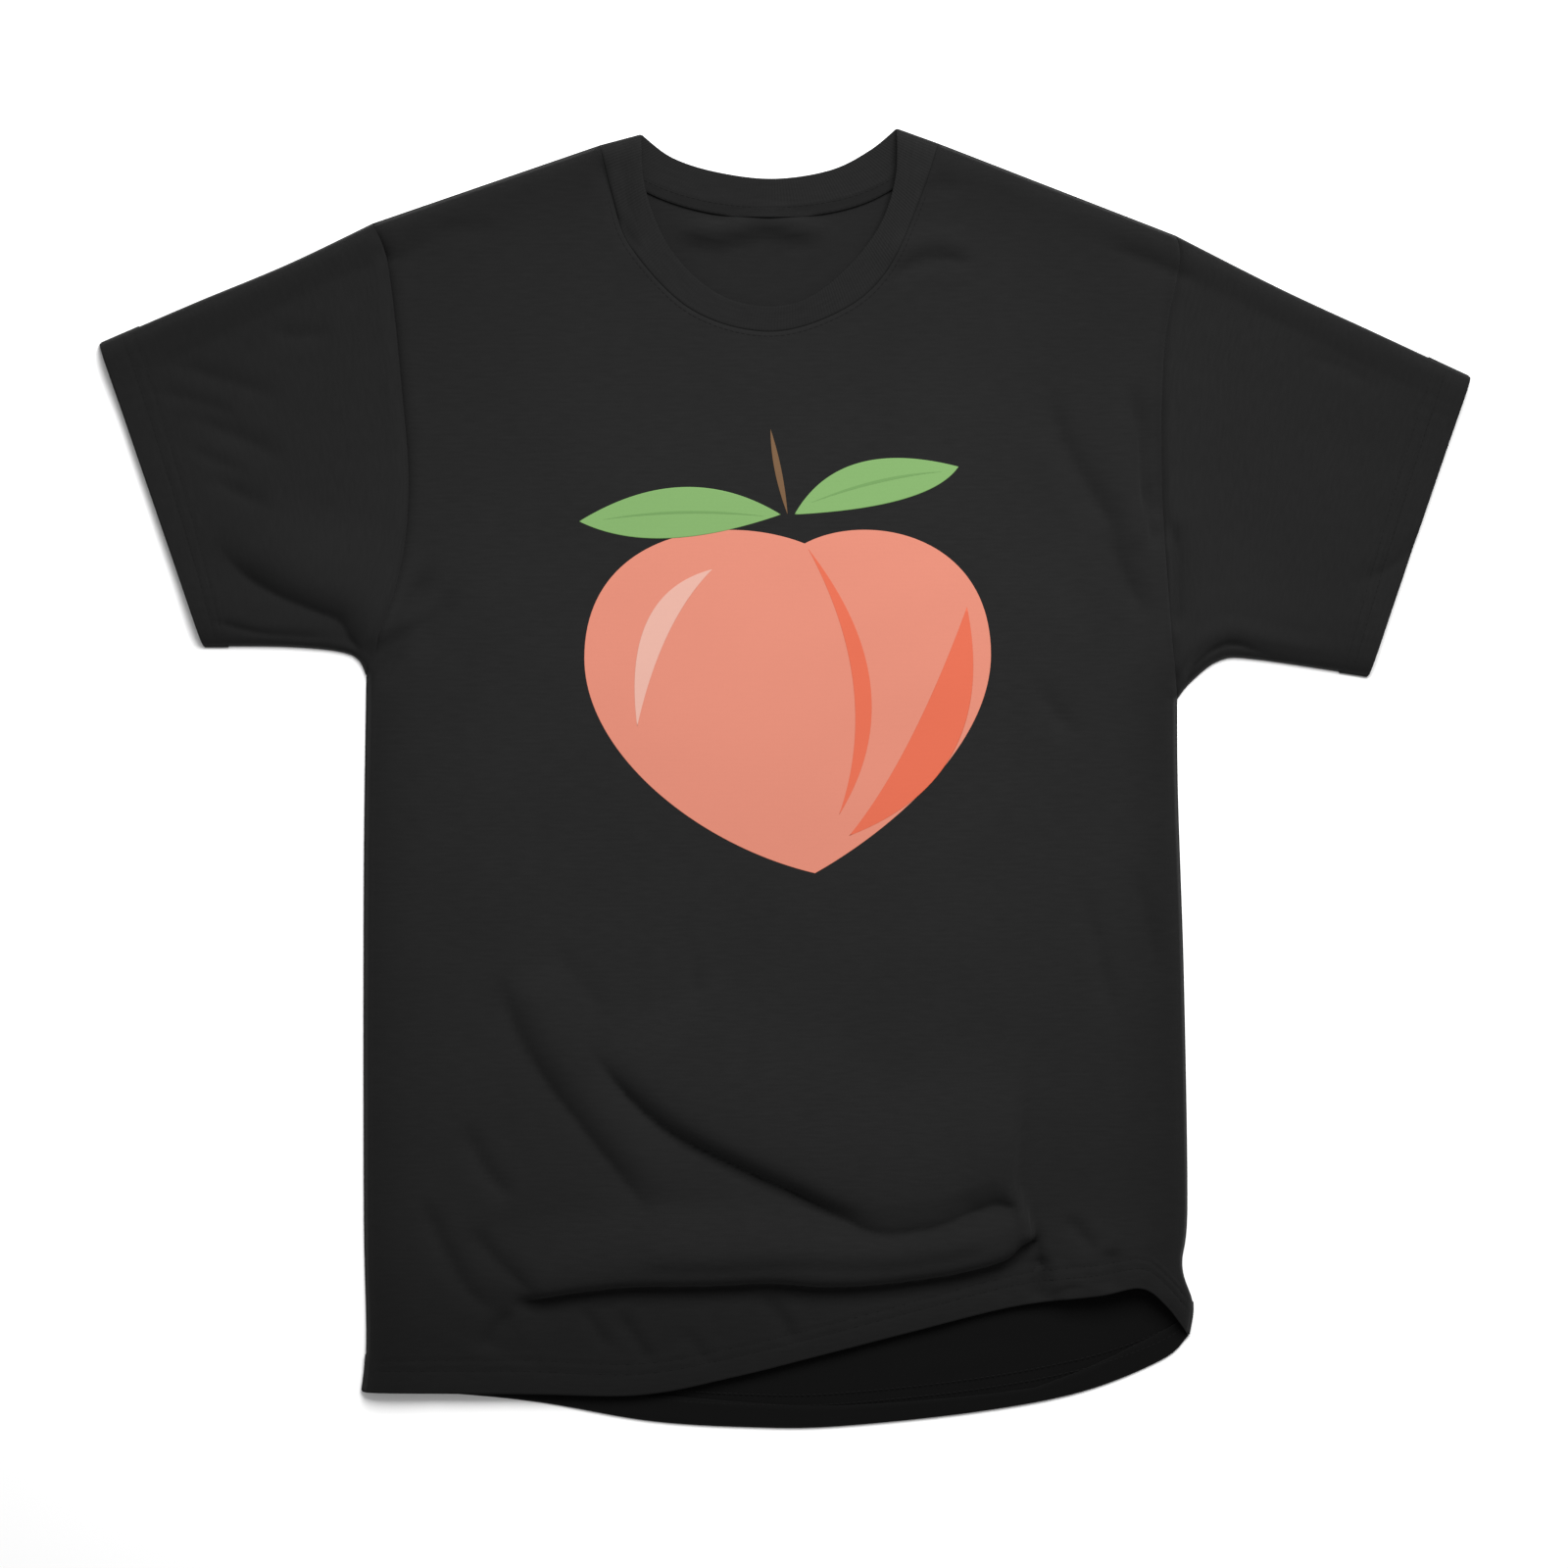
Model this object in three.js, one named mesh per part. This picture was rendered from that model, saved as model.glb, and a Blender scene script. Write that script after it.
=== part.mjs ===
// A short-sleeved crew-neck T-shirt lying flat on a table, front upwards, in millimetres.
// X runs across the garment towards the wearer's left, Y up towards the neck, Z up off the table.
// The sewn pieces are separate solids that meet along the seams with a small air gap.
import * as THREE from "three";

// ---- Driving dimensions -------------------------------------------------------------------
const CLOTH = 1.0; // jersey with its nap
const GAP = 0.4; // air between two sewn pieces, one above the other
const SEAM_GAP = 0.9; // air between two sewn pieces, side by side
const LOFT = 8.0; // underside of the front over the table, where the garment is slack
const ROLL = 14; // width of the curve that brings the front down to a closed seam
const HEM = 22; // depth of the turned-up hems
const HEM_TAPER = 6; // over which a hem's second layer ends
const HEM_EASE = 90; // over which a side seam comes down from the hems' four layers to two
const RIB = 1.8; // two layers of collar rib
const TAPE = { thickness: 0.6, width: 7, reach: 0.08 }; // tape over the back neck seam
const THREAD = { width: 1.0, thickness: 0.3, lift: 0.5 }; // a row of stitches
const TWIN = 6; // between the two rows of a twin-needle hem
const INK = { thickness: 0.25, lift: 0.3 }; // a printed film, and the air under it
const FOLD_RISE = 9; // how far the loose cloth near the hem stands up
const HEM_LIFT = 8; // how far the front hem is lifted at its high point

// The garment is laid by hand, so its two sides differ a little. Each pair is a place in plan.
const RIGHT = {
  neck: [-108.5, 368.5],
  shoulder: [-242, 323],
  armhole: [-220, 178],
  underarm: [-246, 60],
  waist: [-246.5, -120],
  hem: [-247, -360],
  cuffTop: [-402, 255],
  cuffBottom: [-341, 78],
};
const LEFT = {
  neck: [90, 369.5],
  shoulder: [229, 317],
  armhole: [220, 180],
  underarm: [230, 46],
  waist: [233, -119],
  hem: [236, -331],
  cuffTop: [402, 235],
  cuffBottom: [342, 60],
};
const NECK_PEAK = { right: [-83, 373.5], left: [65, 376.6] };
const FRONT_NECK = [[-98, 328], [-72, 287], [-38, 264.5], [-5, 260.5], [33, 273.5], [65, 308], [81, 341]];
const FRONT_RIB_EDGE = [[-79, 338], [-61, 303], [-34, 281], [-5, 276.5], [26, 289], [52, 318], [63, 348]];
const BACK_NECK = [[-84, 348], [-50, 336], [-7, 331.5], [36, 337], [66, 349]];
const BACK_RIB_EDGE = [[-64, 363], [-38, 355], [-7, 352], [25, 356], [48, 366]];
const FRONT_HEM = [[-150, -360.5], [-85, -361], [-30, -350.5], [70, -325.5], [150, -307], [207, -299]];
const BACK_HEM = [[-190, -362], [-110, -373.5], [-20, -381.2], [70, -377.5], [150, -365], [212, -346]];

// Cells of the body panels' grids: in all, and those beside a shoulder or along a side seam.
const ACROSS = { cells: 36, shoulder: 9, crowding: 0.6 };
const FRONT_ROWS = { cells: 26, side: 16 };
const BACK_ROWS = { cells: 13, side: 5 };
const SIDE_SHARE = 0.6; // of a panel's edge that is side seam, the rest being armhole
const SLEEVE = { flat: 8, round: 4, rows: 7 }; // cells over a layer, round a fold, and lengthwise

// The print on the chest: its middle, the fruit's half-width, its shoulders and its point.
const PRINT = { x: 1.5, halfWidth: 119, top: 150, tip: -56 };

// ---- Curves in plan -----------------------------------------------------------------------
const clamp01 = (value) => THREE.MathUtils.clamp(value, 0, 1);
const smooth = (low, high, value) => THREE.MathUtils.smoothstep(value, low, high);
const bell = (distance, width) => Math.exp(-((distance / width) ** 2));
const point = ([x, y]) => new THREE.Vector2(x, y);
const line = (start, end) => new THREE.LineCurve(point(start), point(end));
const spline = (places) => new THREE.SplineCurve(places.map(point));
const armholeOf = (side) => spline([side.underarm, side.armhole, side.shoulder]);

// Runs along the curves one after the other, each over its own share of 0..1.
function joined(curves, shares) {
  return (t) => {
    let start = 0;
    let index = 0;
    while (index < curves.length - 1 && t > start + shares[index]) {
      start += shares[index];
      index += 1;
    }
    return curves[index].getPointAt(clamp01((t - start) / shares[index]));
  };
}

// A four-sided panel in plan: (u, v) in the unit square to a place between its four edges.
function fourSided(bottom, top, left, right) {
  return (u, v) => {
    const place = left(v).multiplyScalar(1 - u).addScaledVector(right(v), u);
    place.addScaledVector(bottom(u), 1 - v).addScaledVector(top(u), v);
    place.addScaledVector(bottom(0), -(1 - u) * (1 - v)).addScaledVector(bottom(1), -u * (1 - v));
    return place.addScaledVector(top(0), -(1 - u) * v).addScaledVector(top(1), -u * v);
  };
}

// ---- Closed solids ------------------------------------------------------------------------
// A slab whose corners are moved: place(u, v, side) has side 0 on the lower face, 1 on the upper.
function slab(across, along, place) {
  const geometry = new THREE.BoxGeometry(1, 1, 1, across, along, 1);
  const { position } = geometry.attributes;
  for (let i = 0; i < position.count; i += 1) {
    const u = clamp01(position.getX(i) + 0.5);
    const v = clamp01(position.getY(i) + 0.5);
    position.setXYZ(i, ...place(u, v, position.getZ(i) > 0 ? 1 : 0));
  }
  return geometry;
}

// A band that closes on itself: place(step, corner) gives each corner of its section.
function band(steps, section, place) {
  const count = section.length;
  const profile = section.map((corner, i) => new THREE.Vector2(2, i));
  const geometry = new THREE.LatheGeometry([...profile, profile[0]], steps);
  const { position, uv } = geometry.attributes;
  for (let i = 0; i < position.count; i += 1) {
    const corner = section[Math.round(uv.getY(i) * count) % count];
    position.setXYZ(i, ...place(Math.round(uv.getX(i) * steps) % steps, corner));
  }
  return geometry;
}

// ---- Finishes -----------------------------------------------------------------------------
const FINISHES = {
  jersey: { color: 0x282828, roughness: 0.92 },
  rib: { color: 0x262626, roughness: 0.92 },
  tape: { color: 0x1f1f1f, roughness: 0.88 },
  thread: { color: 0x222222, roughness: 0.7 },
  peach: { color: 0xea907b, roughness: 0.75 },
  blush: { color: 0xed7050, roughness: 0.75 },
  highlight: { color: 0xf0b9aa, roughness: 0.75 },
  leaf: { color: 0x85b36b, roughness: 0.75 },
  vein: { color: 0x76a35d, roughness: 0.75 },
  stem: { color: 0x7a5a3c, roughness: 0.75 },
};

const shirt = new THREE.Group();

function add(name, geometry, finish) {
  geometry.computeVertexNormals();
  const mesh = new THREE.Mesh(geometry, new THREE.MeshStandardMaterial(FINISHES[finish]));
  mesh.name = name;
  shirt.add(mesh);
}

// ---- The lie of the front -----------------------------------------------------------------
// Two rolls of loose cloth cross the front above the hem: the upper one comes down from the
// wearer's right side to the middle, and the lower one runs beside the hem.
function looseCloth(x, y) {
  const upper = -235 + 62 * (1 - smooth(-230, -60, x)) ** 1.5 - 12 * bell(x - 60, 60);
  const lower = -288 + 22 * smooth(40, 150, x);
  const ends = smooth(-236, -150, x) * (1 - smooth(110, 185, x));
  const rolls = 0.7 * bell(y - upper, 30) + bell(y - lower, 20);
  return FOLD_RISE * ends * rolls * (1 - smooth(-120, -75, y)) * smooth(-350, -315, y);
}

function hemLift(x, y) {
  return HEM_LIFT * bell(x - 192, 38) * bell(y + 300, 45);
}

// ---- Body ---------------------------------------------------------------------------------
// Stations crowd towards the two sides, where the front rolls down to its seams.
function acrossStation(u) {
  return u - (ACROSS.crowding * Math.sin(2 * Math.PI * u)) / (2 * Math.PI);
}

// Stations crowd towards the hem and the shoulder.
function alongStation(rows, v) {
  const side = rows.side / rows.cells;
  if (v <= side) {
    return SIDE_SHARE * (v / side) ** rows.hemCrowding;
  }
  const t = (v - side) / (1 - side);
  return SIDE_SHARE + (1 - SIDE_SHARE) * (t + 0.15 * Math.sin(Math.PI * t));
}
FRONT_ROWS.hemCrowding = 1.15;
BACK_ROWS.hemCrowding = 1.85;

const SHOULDER_SHARE = acrossStation(ACROSS.shoulder / ACROSS.cells);

function bodyPlan(hem, neck) {
  const sideEdge = (side) => {
    const seam = spline([side.hem, side.waist, side.underarm]);
    return joined([seam, armholeOf(side)], [SIDE_SHARE, 1 - SIDE_SHARE]);
  };
  const shoulders = [line(RIGHT.shoulder, RIGHT.neck), line(LEFT.neck, LEFT.shoulder)];
  const neckline = spline([RIGHT.neck, ...neck, LEFT.neck]);
  const shares = [SHOULDER_SHARE, 1 - 2 * SHOULDER_SHARE, SHOULDER_SHARE];
  const top = joined([shoulders[0], neckline, shoulders[1]], shares);
  const bottom = joined([spline([RIGHT.hem, ...hem, LEFT.hem])], [1]);
  return fourSided(bottom, top, sideEdge(RIGHT), sideEdge(LEFT));
}

const frontPlan = bodyPlan(FRONT_HEM, FRONT_NECK);
const backPlan = bodyPlan(BACK_HEM, BACK_NECK);

// Share of a hem's second layer that is there, so far above the hem's edge.
const hemLayer = (fromHem) => 1 - smooth(HEM, HEM + HEM_TAPER, fromHem);

function frontPlace(u, v, side) {
  const { x, y } = frontPlan(u, v);
  const inset = Math.min(u, 1 - u);
  const width = frontPlan(1, v).x - frontPlan(0, v).x;
  const second = CLOTH * hemLayer(y - frontPlan(u, 0).y);
  const rise = (distance) => Math.sqrt(1 - (1 - clamp01(distance / ROLL)) ** 2);
  const besideSleeve = ROLL * smooth(SIDE_SHARE, SIDE_SHARE + 0.04, v);
  const besideNeck = ROLL * smooth(SHOULDER_SHARE - 0.03, SHOULDER_SHARE, inset);
  const closed = rise(inset * width + besideSleeve) * rise(frontPlan(u, 1).y - y + besideNeck);
  const seam = CLOTH + GAP + 2 * CLOTH * (1 - smooth(HEM, HEM + HEM_EASE, y - frontPlan(u, 0).y));
  const underside = seam + (LOFT + looseCloth(x, y) + hemLift(x, y) - seam) * closed;
  return [x, y, underside + (side ? CLOTH : -second)];
}

function backPlace(u, v, side) {
  const { x, y } = backPlan(u, v);
  return [x, y, side ? CLOTH * (1 + hemLayer(y - backPlan(u, 0).y)) : 0];
}

// A body panel's own grid, as a place for cell corners, and between two rows of them.
function grid(rows, place) {
  return (u, v, side) => place(acrossStation(u), alongStation(rows, v), side);
}

const frontGrid = grid(FRONT_ROWS, frontPlace);
const backGrid = grid(BACK_ROWS, backPlace);

function addBody() {
  add("front_body", slab(ACROSS.cells, FRONT_ROWS.cells, frontGrid), "jersey");
  add("back_body", slab(ACROSS.cells, BACK_ROWS.cells, backGrid), "jersey");
}

// ---- Sleeves ------------------------------------------------------------------------------
// A flattened ring starts at the underarm fold and goes over the top layer first.
function flattenedRing(step, flatLength, radius) {
  const { flat, round } = SLEEVE;
  const turn = (Math.PI * ((step % (flat + round)) - flat)) / round;
  const onBend = step % (flat + round) >= flat;
  const back = step >= flat + round;
  const reach = onBend ? flatLength + radius * Math.sin(turn) : ((step % (flat + round)) / flat) * flatLength;
  const z = onBend ? radius * Math.cos(turn) : radius;
  return back ? { reach: flatLength - reach, z: -z } : { reach, z };
}

// A place on a sleeve: `along` runs from the armhole to the cuff.
function sleevePlace(side, step, along, inner) {
  const outward = Math.sign(side.cuffTop[0]);
  const armhole = armholeOf(side);
  const chord = line(side.underarm, side.shoulder);
  const cuff = line(side.cuffBottom, side.cuffTop);
  const height = LOFT + CLOTH;
  const length = Math.abs(side.cuffTop[0] - side.shoulder[0]);
  const wall = inner ? CLOTH * (1 + hemLayer((1 - along) * length)) : 0;
  const { reach, z } = flattenedRing(step, chord.getLength() - height, height / 2 - wall);
  const t = (reach + height / 2) / chord.getLength();
  const start = armhole.getPointAt(clamp01(t));
  const bow = start.sub(chord.getPoint(t)).multiplyScalar((1 - along) ** 1.6);
  const place = chord.getPoint(t).lerp(cuff.getPoint(t), along).add(bow);
  return [place.x + outward * SEAM_GAP * (1 - along), place.y, height / 2 + z];
}

function addSleeve(name, side, forward) {
  const steps = 2 * (SLEEVE.flat + SLEEVE.round);
  const outer = Array.from({ length: SLEEVE.rows + 1 }, (_, i) => [i / SLEEVE.rows, false]);
  const inner = outer.map(([along]) => [along, true]).reverse();
  const section = forward ? [...outer, ...inner] : [...outer, ...inner].reverse();
  add(name, band(steps, section, (step, [along, inside]) => sleevePlace(side, step, along, inside)), "jersey");
}

// ---- Collar -------------------------------------------------------------------------------
// The rib goes round the neck as one ring, and folds over at the two neck peaks.
function ribRing() {
  const cells = ACROSS.cells - 2 * ACROSS.shoulder;
  const foldCells = 4;
  const foldRadius = LOFT / 2;
  const halves = [
    { seam: spline([RIGHT.neck, ...FRONT_NECK, LEFT.neck]), z: LOFT + RIB / 2, up: 1 },
    { seam: spline([RIGHT.neck, ...BACK_NECK, LEFT.neck]), z: RIB / 2, up: -1 },
  ];
  const edges = [
    spline([NECK_PEAK.right, ...FRONT_RIB_EDGE, NECK_PEAK.left]),
    spline([NECK_PEAK.right, ...BACK_RIB_EDGE, NECK_PEAK.left]),
  ];
  const ring = [];
  const strip = (half, t) => {
    const seam = halves[half].seam.getPointAt(t);
    const edge = edges[half].getPointAt(t);
    seam.addScaledVector(edge.clone().sub(seam).normalize(), SEAM_GAP);
    return { seam, edge, z: halves[half].z, normal: new THREE.Vector3(0, 0, halves[half].up) };
  };
  const fold = (t, turn) => {
    const { seam, edge } = strip(0, t);
    const away = new THREE.Vector2(-(edge.y - seam.y), edge.x - seam.x).normalize();
    away.multiplyScalar(Math.sign(away.y) * Math.sin(turn));
    const z = RIB / 2 + foldRadius * (1 + Math.cos(turn));
    const normal = new THREE.Vector3(away.x, away.y, Math.cos(turn));
    away.multiplyScalar(foldRadius);
    return { seam: seam.add(away), edge: edge.add(away), z, normal };
  };
  for (let i = 0; i <= cells; i += 1) {
    ring.push(strip(0, i / cells));
  }
  for (let i = 1; i < foldCells; i += 1) {
    ring.push(fold(1, (Math.PI * i) / foldCells));
  }
  for (let i = cells; i >= 0; i -= 1) {
    ring.push(strip(1, i / cells));
  }
  for (let i = foldCells - 1; i > 0; i -= 1) {
    ring.push(fold(0, (Math.PI * i) / foldCells));
  }
  return ring;
}

function addCollar() {
  const ring = ribRing();
  const section = [[0, -0.5], [0, 0.5], [1, 0.5], [1, -0.5]];
  const place = (step, [toEdge, toFace]) => {
    const { seam, edge, z, normal } = ring[step];
    const plan = seam.clone().lerp(edge, toEdge);
    const out = normal.clone().multiplyScalar(toFace * RIB);
    return [plan.x + out.x, plan.y + out.y, z + out.z];
  };
  add("neck_rib", band(ring.length, section, place), "rib");
}

function addNeckTape() {
  const seam = spline([RIGHT.neck, ...BACK_NECK, LEFT.neck]);
  const place = (u, v, side) => {
    const at = seam.getPointAt(TAPE.reach + (1 - 2 * TAPE.reach) * u);
    const z = RIB + GAP + side * TAPE.thickness;
    return [at.x, at.y + (v - 0.5) * TAPE.width, z];
  };
  add("neck_tape", slab(24, 1, place), "tape");
}

// ---- Stitches -----------------------------------------------------------------------------
// A row of stitches lies on the cell corners of the cloth under it: corner(i) gives, for each
// station, the cloth's surface at the row's near side and at its far side.
function addStitches(name, stations, corner) {
  const place = (u, v, side) => {
    const [x, y, z] = corner(Math.round(u * stations), v);
    return [x, y, z + THREAD.lift + side * THREAD.thickness];
  };
  add(name, slab(stations, 1, place), "thread");
}

// A place on a body panel's upper face, part of the way between two rows of cell corners.
function onPanel(place, rows, column, row) {
  const under = Math.floor(row);
  const low = new THREE.Vector3(...place(column / ACROSS.cells, under / rows.cells, 1));
  const high = new THREE.Vector3(...place(column / ACROSS.cells, (under + 1) / rows.cells, 1));
  return low.lerp(high, row - under).toArray();
}

// The row number of a panel's grid that lies so far above the hem, at the middle of the panel.
function rowAt(place, rows, fromHem) {
  const middle = (row) => onPanel(place, rows, ACROSS.cells / 2, row)[1];
  let row = 0;
  while (middle(row) - middle(0) < fromHem) {
    row += 0.01;
  }
  return row;
}

function addHemStitches() {
  const margin = 3;
  const stations = ACROSS.cells - 2 * margin;
  const panels = [
    ["front", frontGrid, FRONT_ROWS],
    ["back", backGrid, BACK_ROWS],
  ];
  for (const [name, place, rows] of panels) {
    for (const [row, fromHem] of [["upper", HEM - 3], ["lower", HEM - 3 - TWIN]]) {
      const corner = (i, far) => onPanel(place, rows, i + margin, rowAt(place, rows, fromHem + far * THREAD.width));
      addStitches(`hem_stitch_${name}_${row}`, stations, corner);
    }
  }
}

function addSleeveStitches(name, side) {
  const reach = Math.abs(side.cuffTop[0] - side.shoulder[0]);
  for (const [row, fromHem] of [["inner", HEM - 3], ["outer", HEM - 3 - TWIN]]) {
    const station = (i) => (side === RIGHT ? SLEEVE.flat - i : i);
    const corner = (i, far) => sleevePlace(side, station(i), 1 - (fromHem + far * THREAD.width) / reach, false);
    addStitches(`${name}_stitch_${row}`, SLEEVE.flat, corner);
  }
}

function addNeckStitches() {
  const margin = 2;
  const stations = ACROSS.cells - 2 * (ACROSS.shoulder + margin);
  const row = FRONT_ROWS.cells - 0.5;
  const corner = (i, far) => onPanel(frontGrid, FRONT_ROWS, i + ACROSS.shoulder + margin, row + 0.1 * far);
  addStitches("neck_stitch_front", stations, corner);
}

// ---- Print --------------------------------------------------------------------------------
function addFilm(name, outline, finish, layer) {
  const film = new THREE.ExtrudeGeometry(outline, { depth: INK.thickness, bevelEnabled: false, curveSegments: 9 });
  film.translate(PRINT.x, 0, LOFT + CLOTH + INK.lift + layer * (INK.thickness + INK.lift));
  add(name, film, finish);
}

function fruitOutline() {
  const { halfWidth, top, tip } = PRINT;
  const outline = new THREE.Shape();
  outline.moveTo(10, top - 13);
  outline.bezierCurveTo(45, top + 6, halfWidth, top - 6, halfWidth, top - 78);
  outline.bezierCurveTo(halfWidth, tip + 76, 62, tip + 26, 16, tip);
  outline.bezierCurveTo(-52, tip + 16, -halfWidth, tip + 70, -halfWidth, top - 80);
  outline.bezierCurveTo(-halfWidth, top - 6, -38, top + 6, 10, top - 13);
  return outline;
}

// A sickle between two curves that share their ends.
function sickle(start, outerPull, innerPull, end) {
  const outline = new THREE.Shape();
  outline.moveTo(...start);
  outline.quadraticCurveTo(...outerPull, ...end);
  outline.quadraticCurveTo(...innerPull, ...start);
  return outline;
}

function addPrint() {
  const { halfWidth, top, tip } = PRINT;
  addFilm("print_fruit", fruitOutline(), "peach", 0);
  addFilm("print_blush", sickle([halfWidth - 14, 100], [halfWidth + 6, 0], [72, 10], [36, tip + 22]), "blush", 1);
  addFilm("print_cleft", sickle([12, top - 16], [76, 52], [56, 52], [30, tip + 34]), "blush", 1);
  addFilm("print_highlight", sickle([-88, 30], [-98, 108], [-74, 92], [-44, 122]), "highlight", 1);
  addFilm("print_leaf_right", sickle([-4, top + 4], [-60, top + 38], [-78, top - 22], [-122, top]), "leaf", 1);
  addFilm("print_leaf_left", sickle([4, top + 4], [30, top + 50], [84, top + 8], [100, top + 32]), "leaf", 1);
  addFilm("print_vein_right", sickle([-14, top + 3], [-62, top + 10], [-62, top + 7], [-108, top + 1]), "vein", 2);
  addFilm("print_vein_left", sickle([14, top + 11], [52, top + 28], [54, top + 25], [90, top + 29]), "vein", 2);
  addFilm("print_stem", sickle([0, top + 4], [-10, top + 30], [-2, top + 30], [-10, top + 54]), "stem", 2);
}

addBody();
addSleeve("sleeve_right", RIGHT, true);
addSleeve("sleeve_left", LEFT, false);
addCollar();
addNeckTape();
addHemStitches();
addSleeveStitches("sleeve_right", RIGHT);
addSleeveStitches("sleeve_left", LEFT);
addNeckStitches();
addPrint();

export default shirt;
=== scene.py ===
"""A short-sleeved crew-neck T-shirt of black jersey, laid flat with its front upwards.

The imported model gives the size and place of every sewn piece. This script gives them their cloth:
panels with turned-up hems and the folds of a shirt laid by hand, a ribbed collar, sewing thread and
a printed peach. Lengths in the pattern are millimetres; meshes are in metres.
"""

import logging
import math
from collections.abc import Callable, Sequence
from dataclasses import dataclass, replace
from enum import Enum

import bmesh
import bpy
import numpy as np
from mathutils import Matrix, Vector


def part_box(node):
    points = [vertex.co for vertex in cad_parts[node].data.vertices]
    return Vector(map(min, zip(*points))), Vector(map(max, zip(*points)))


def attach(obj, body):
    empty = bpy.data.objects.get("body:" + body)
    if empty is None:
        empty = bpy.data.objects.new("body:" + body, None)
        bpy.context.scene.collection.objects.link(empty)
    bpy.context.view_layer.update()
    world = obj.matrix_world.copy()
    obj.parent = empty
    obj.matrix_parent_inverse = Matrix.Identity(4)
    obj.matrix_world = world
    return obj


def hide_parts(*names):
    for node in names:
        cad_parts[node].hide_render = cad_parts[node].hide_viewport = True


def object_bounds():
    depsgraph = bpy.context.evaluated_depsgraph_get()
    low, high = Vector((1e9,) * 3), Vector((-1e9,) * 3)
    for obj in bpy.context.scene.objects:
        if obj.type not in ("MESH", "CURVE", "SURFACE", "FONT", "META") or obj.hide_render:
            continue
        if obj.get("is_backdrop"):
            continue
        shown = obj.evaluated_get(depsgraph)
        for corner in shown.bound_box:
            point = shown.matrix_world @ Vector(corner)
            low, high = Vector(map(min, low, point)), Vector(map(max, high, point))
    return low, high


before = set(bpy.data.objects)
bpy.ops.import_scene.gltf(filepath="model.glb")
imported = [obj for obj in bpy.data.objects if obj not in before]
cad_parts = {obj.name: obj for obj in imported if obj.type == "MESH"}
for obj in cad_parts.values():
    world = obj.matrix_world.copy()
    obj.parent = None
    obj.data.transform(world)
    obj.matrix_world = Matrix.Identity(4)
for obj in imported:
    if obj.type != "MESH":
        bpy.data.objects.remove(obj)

LOG = logging.getLogger("t_shirt")
MM = 0.001
Place = tuple[float, float]
Points = np.ndarray
Line = Callable[[Points], Points]  # from shares of its length to places
Lay = Callable[[Points, Points], tuple[Points, Points]]  # from columns and rows to corners
Socket = bpy.types.NodeSocket
Colour = tuple[float, float, float, float]

CLOTH = 0.8  # jersey, as it is seen at a cut or turned edge
DOUBLED = 2.0 * CLOTH + 0.25  # from the face of a hem to the face of its turned-up layer
HEM = 22.0  # depth of a turned-up hem
ALLOWANCE = 4.0  # cloth that hangs inside a seam
TWIN = 6.0  # between the rows of a twin-needle hem
ROWS = (HEM - 3.0, HEM - 3.0 - TWIN)  # of stitches, from the hem's edge


class Side(Enum):
    """A side of the garment, as the wearer has it: its sign along X."""

    RIGHT = -1
    LEFT = 1


# ---- Curves ---------------------------------------------------------------------------------
def smooth(low: float, high: float, value: Points) -> Points:
    """Rise from 0 at `low` to 1 at `high` with no corner.

    Args:
        low: value at which the rise starts.
        high: value at which it ends.
        value: numbers to ease.

    Returns:
        The eased numbers, 0 to 1.
    """
    t = np.clip((np.asarray(value, float) - low) / (high - low), 0.0, 1.0)
    return t * t * (3.0 - 2.0 * t)


def rounded(distance: Points, reach: float) -> Points:
    """Return the height, 0 to 1, of a quarter of a circle at distances up to its reach."""
    return np.sqrt(1.0 - (1.0 - np.clip(distance / reach, 0.0, 1.0)) ** 2)


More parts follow.
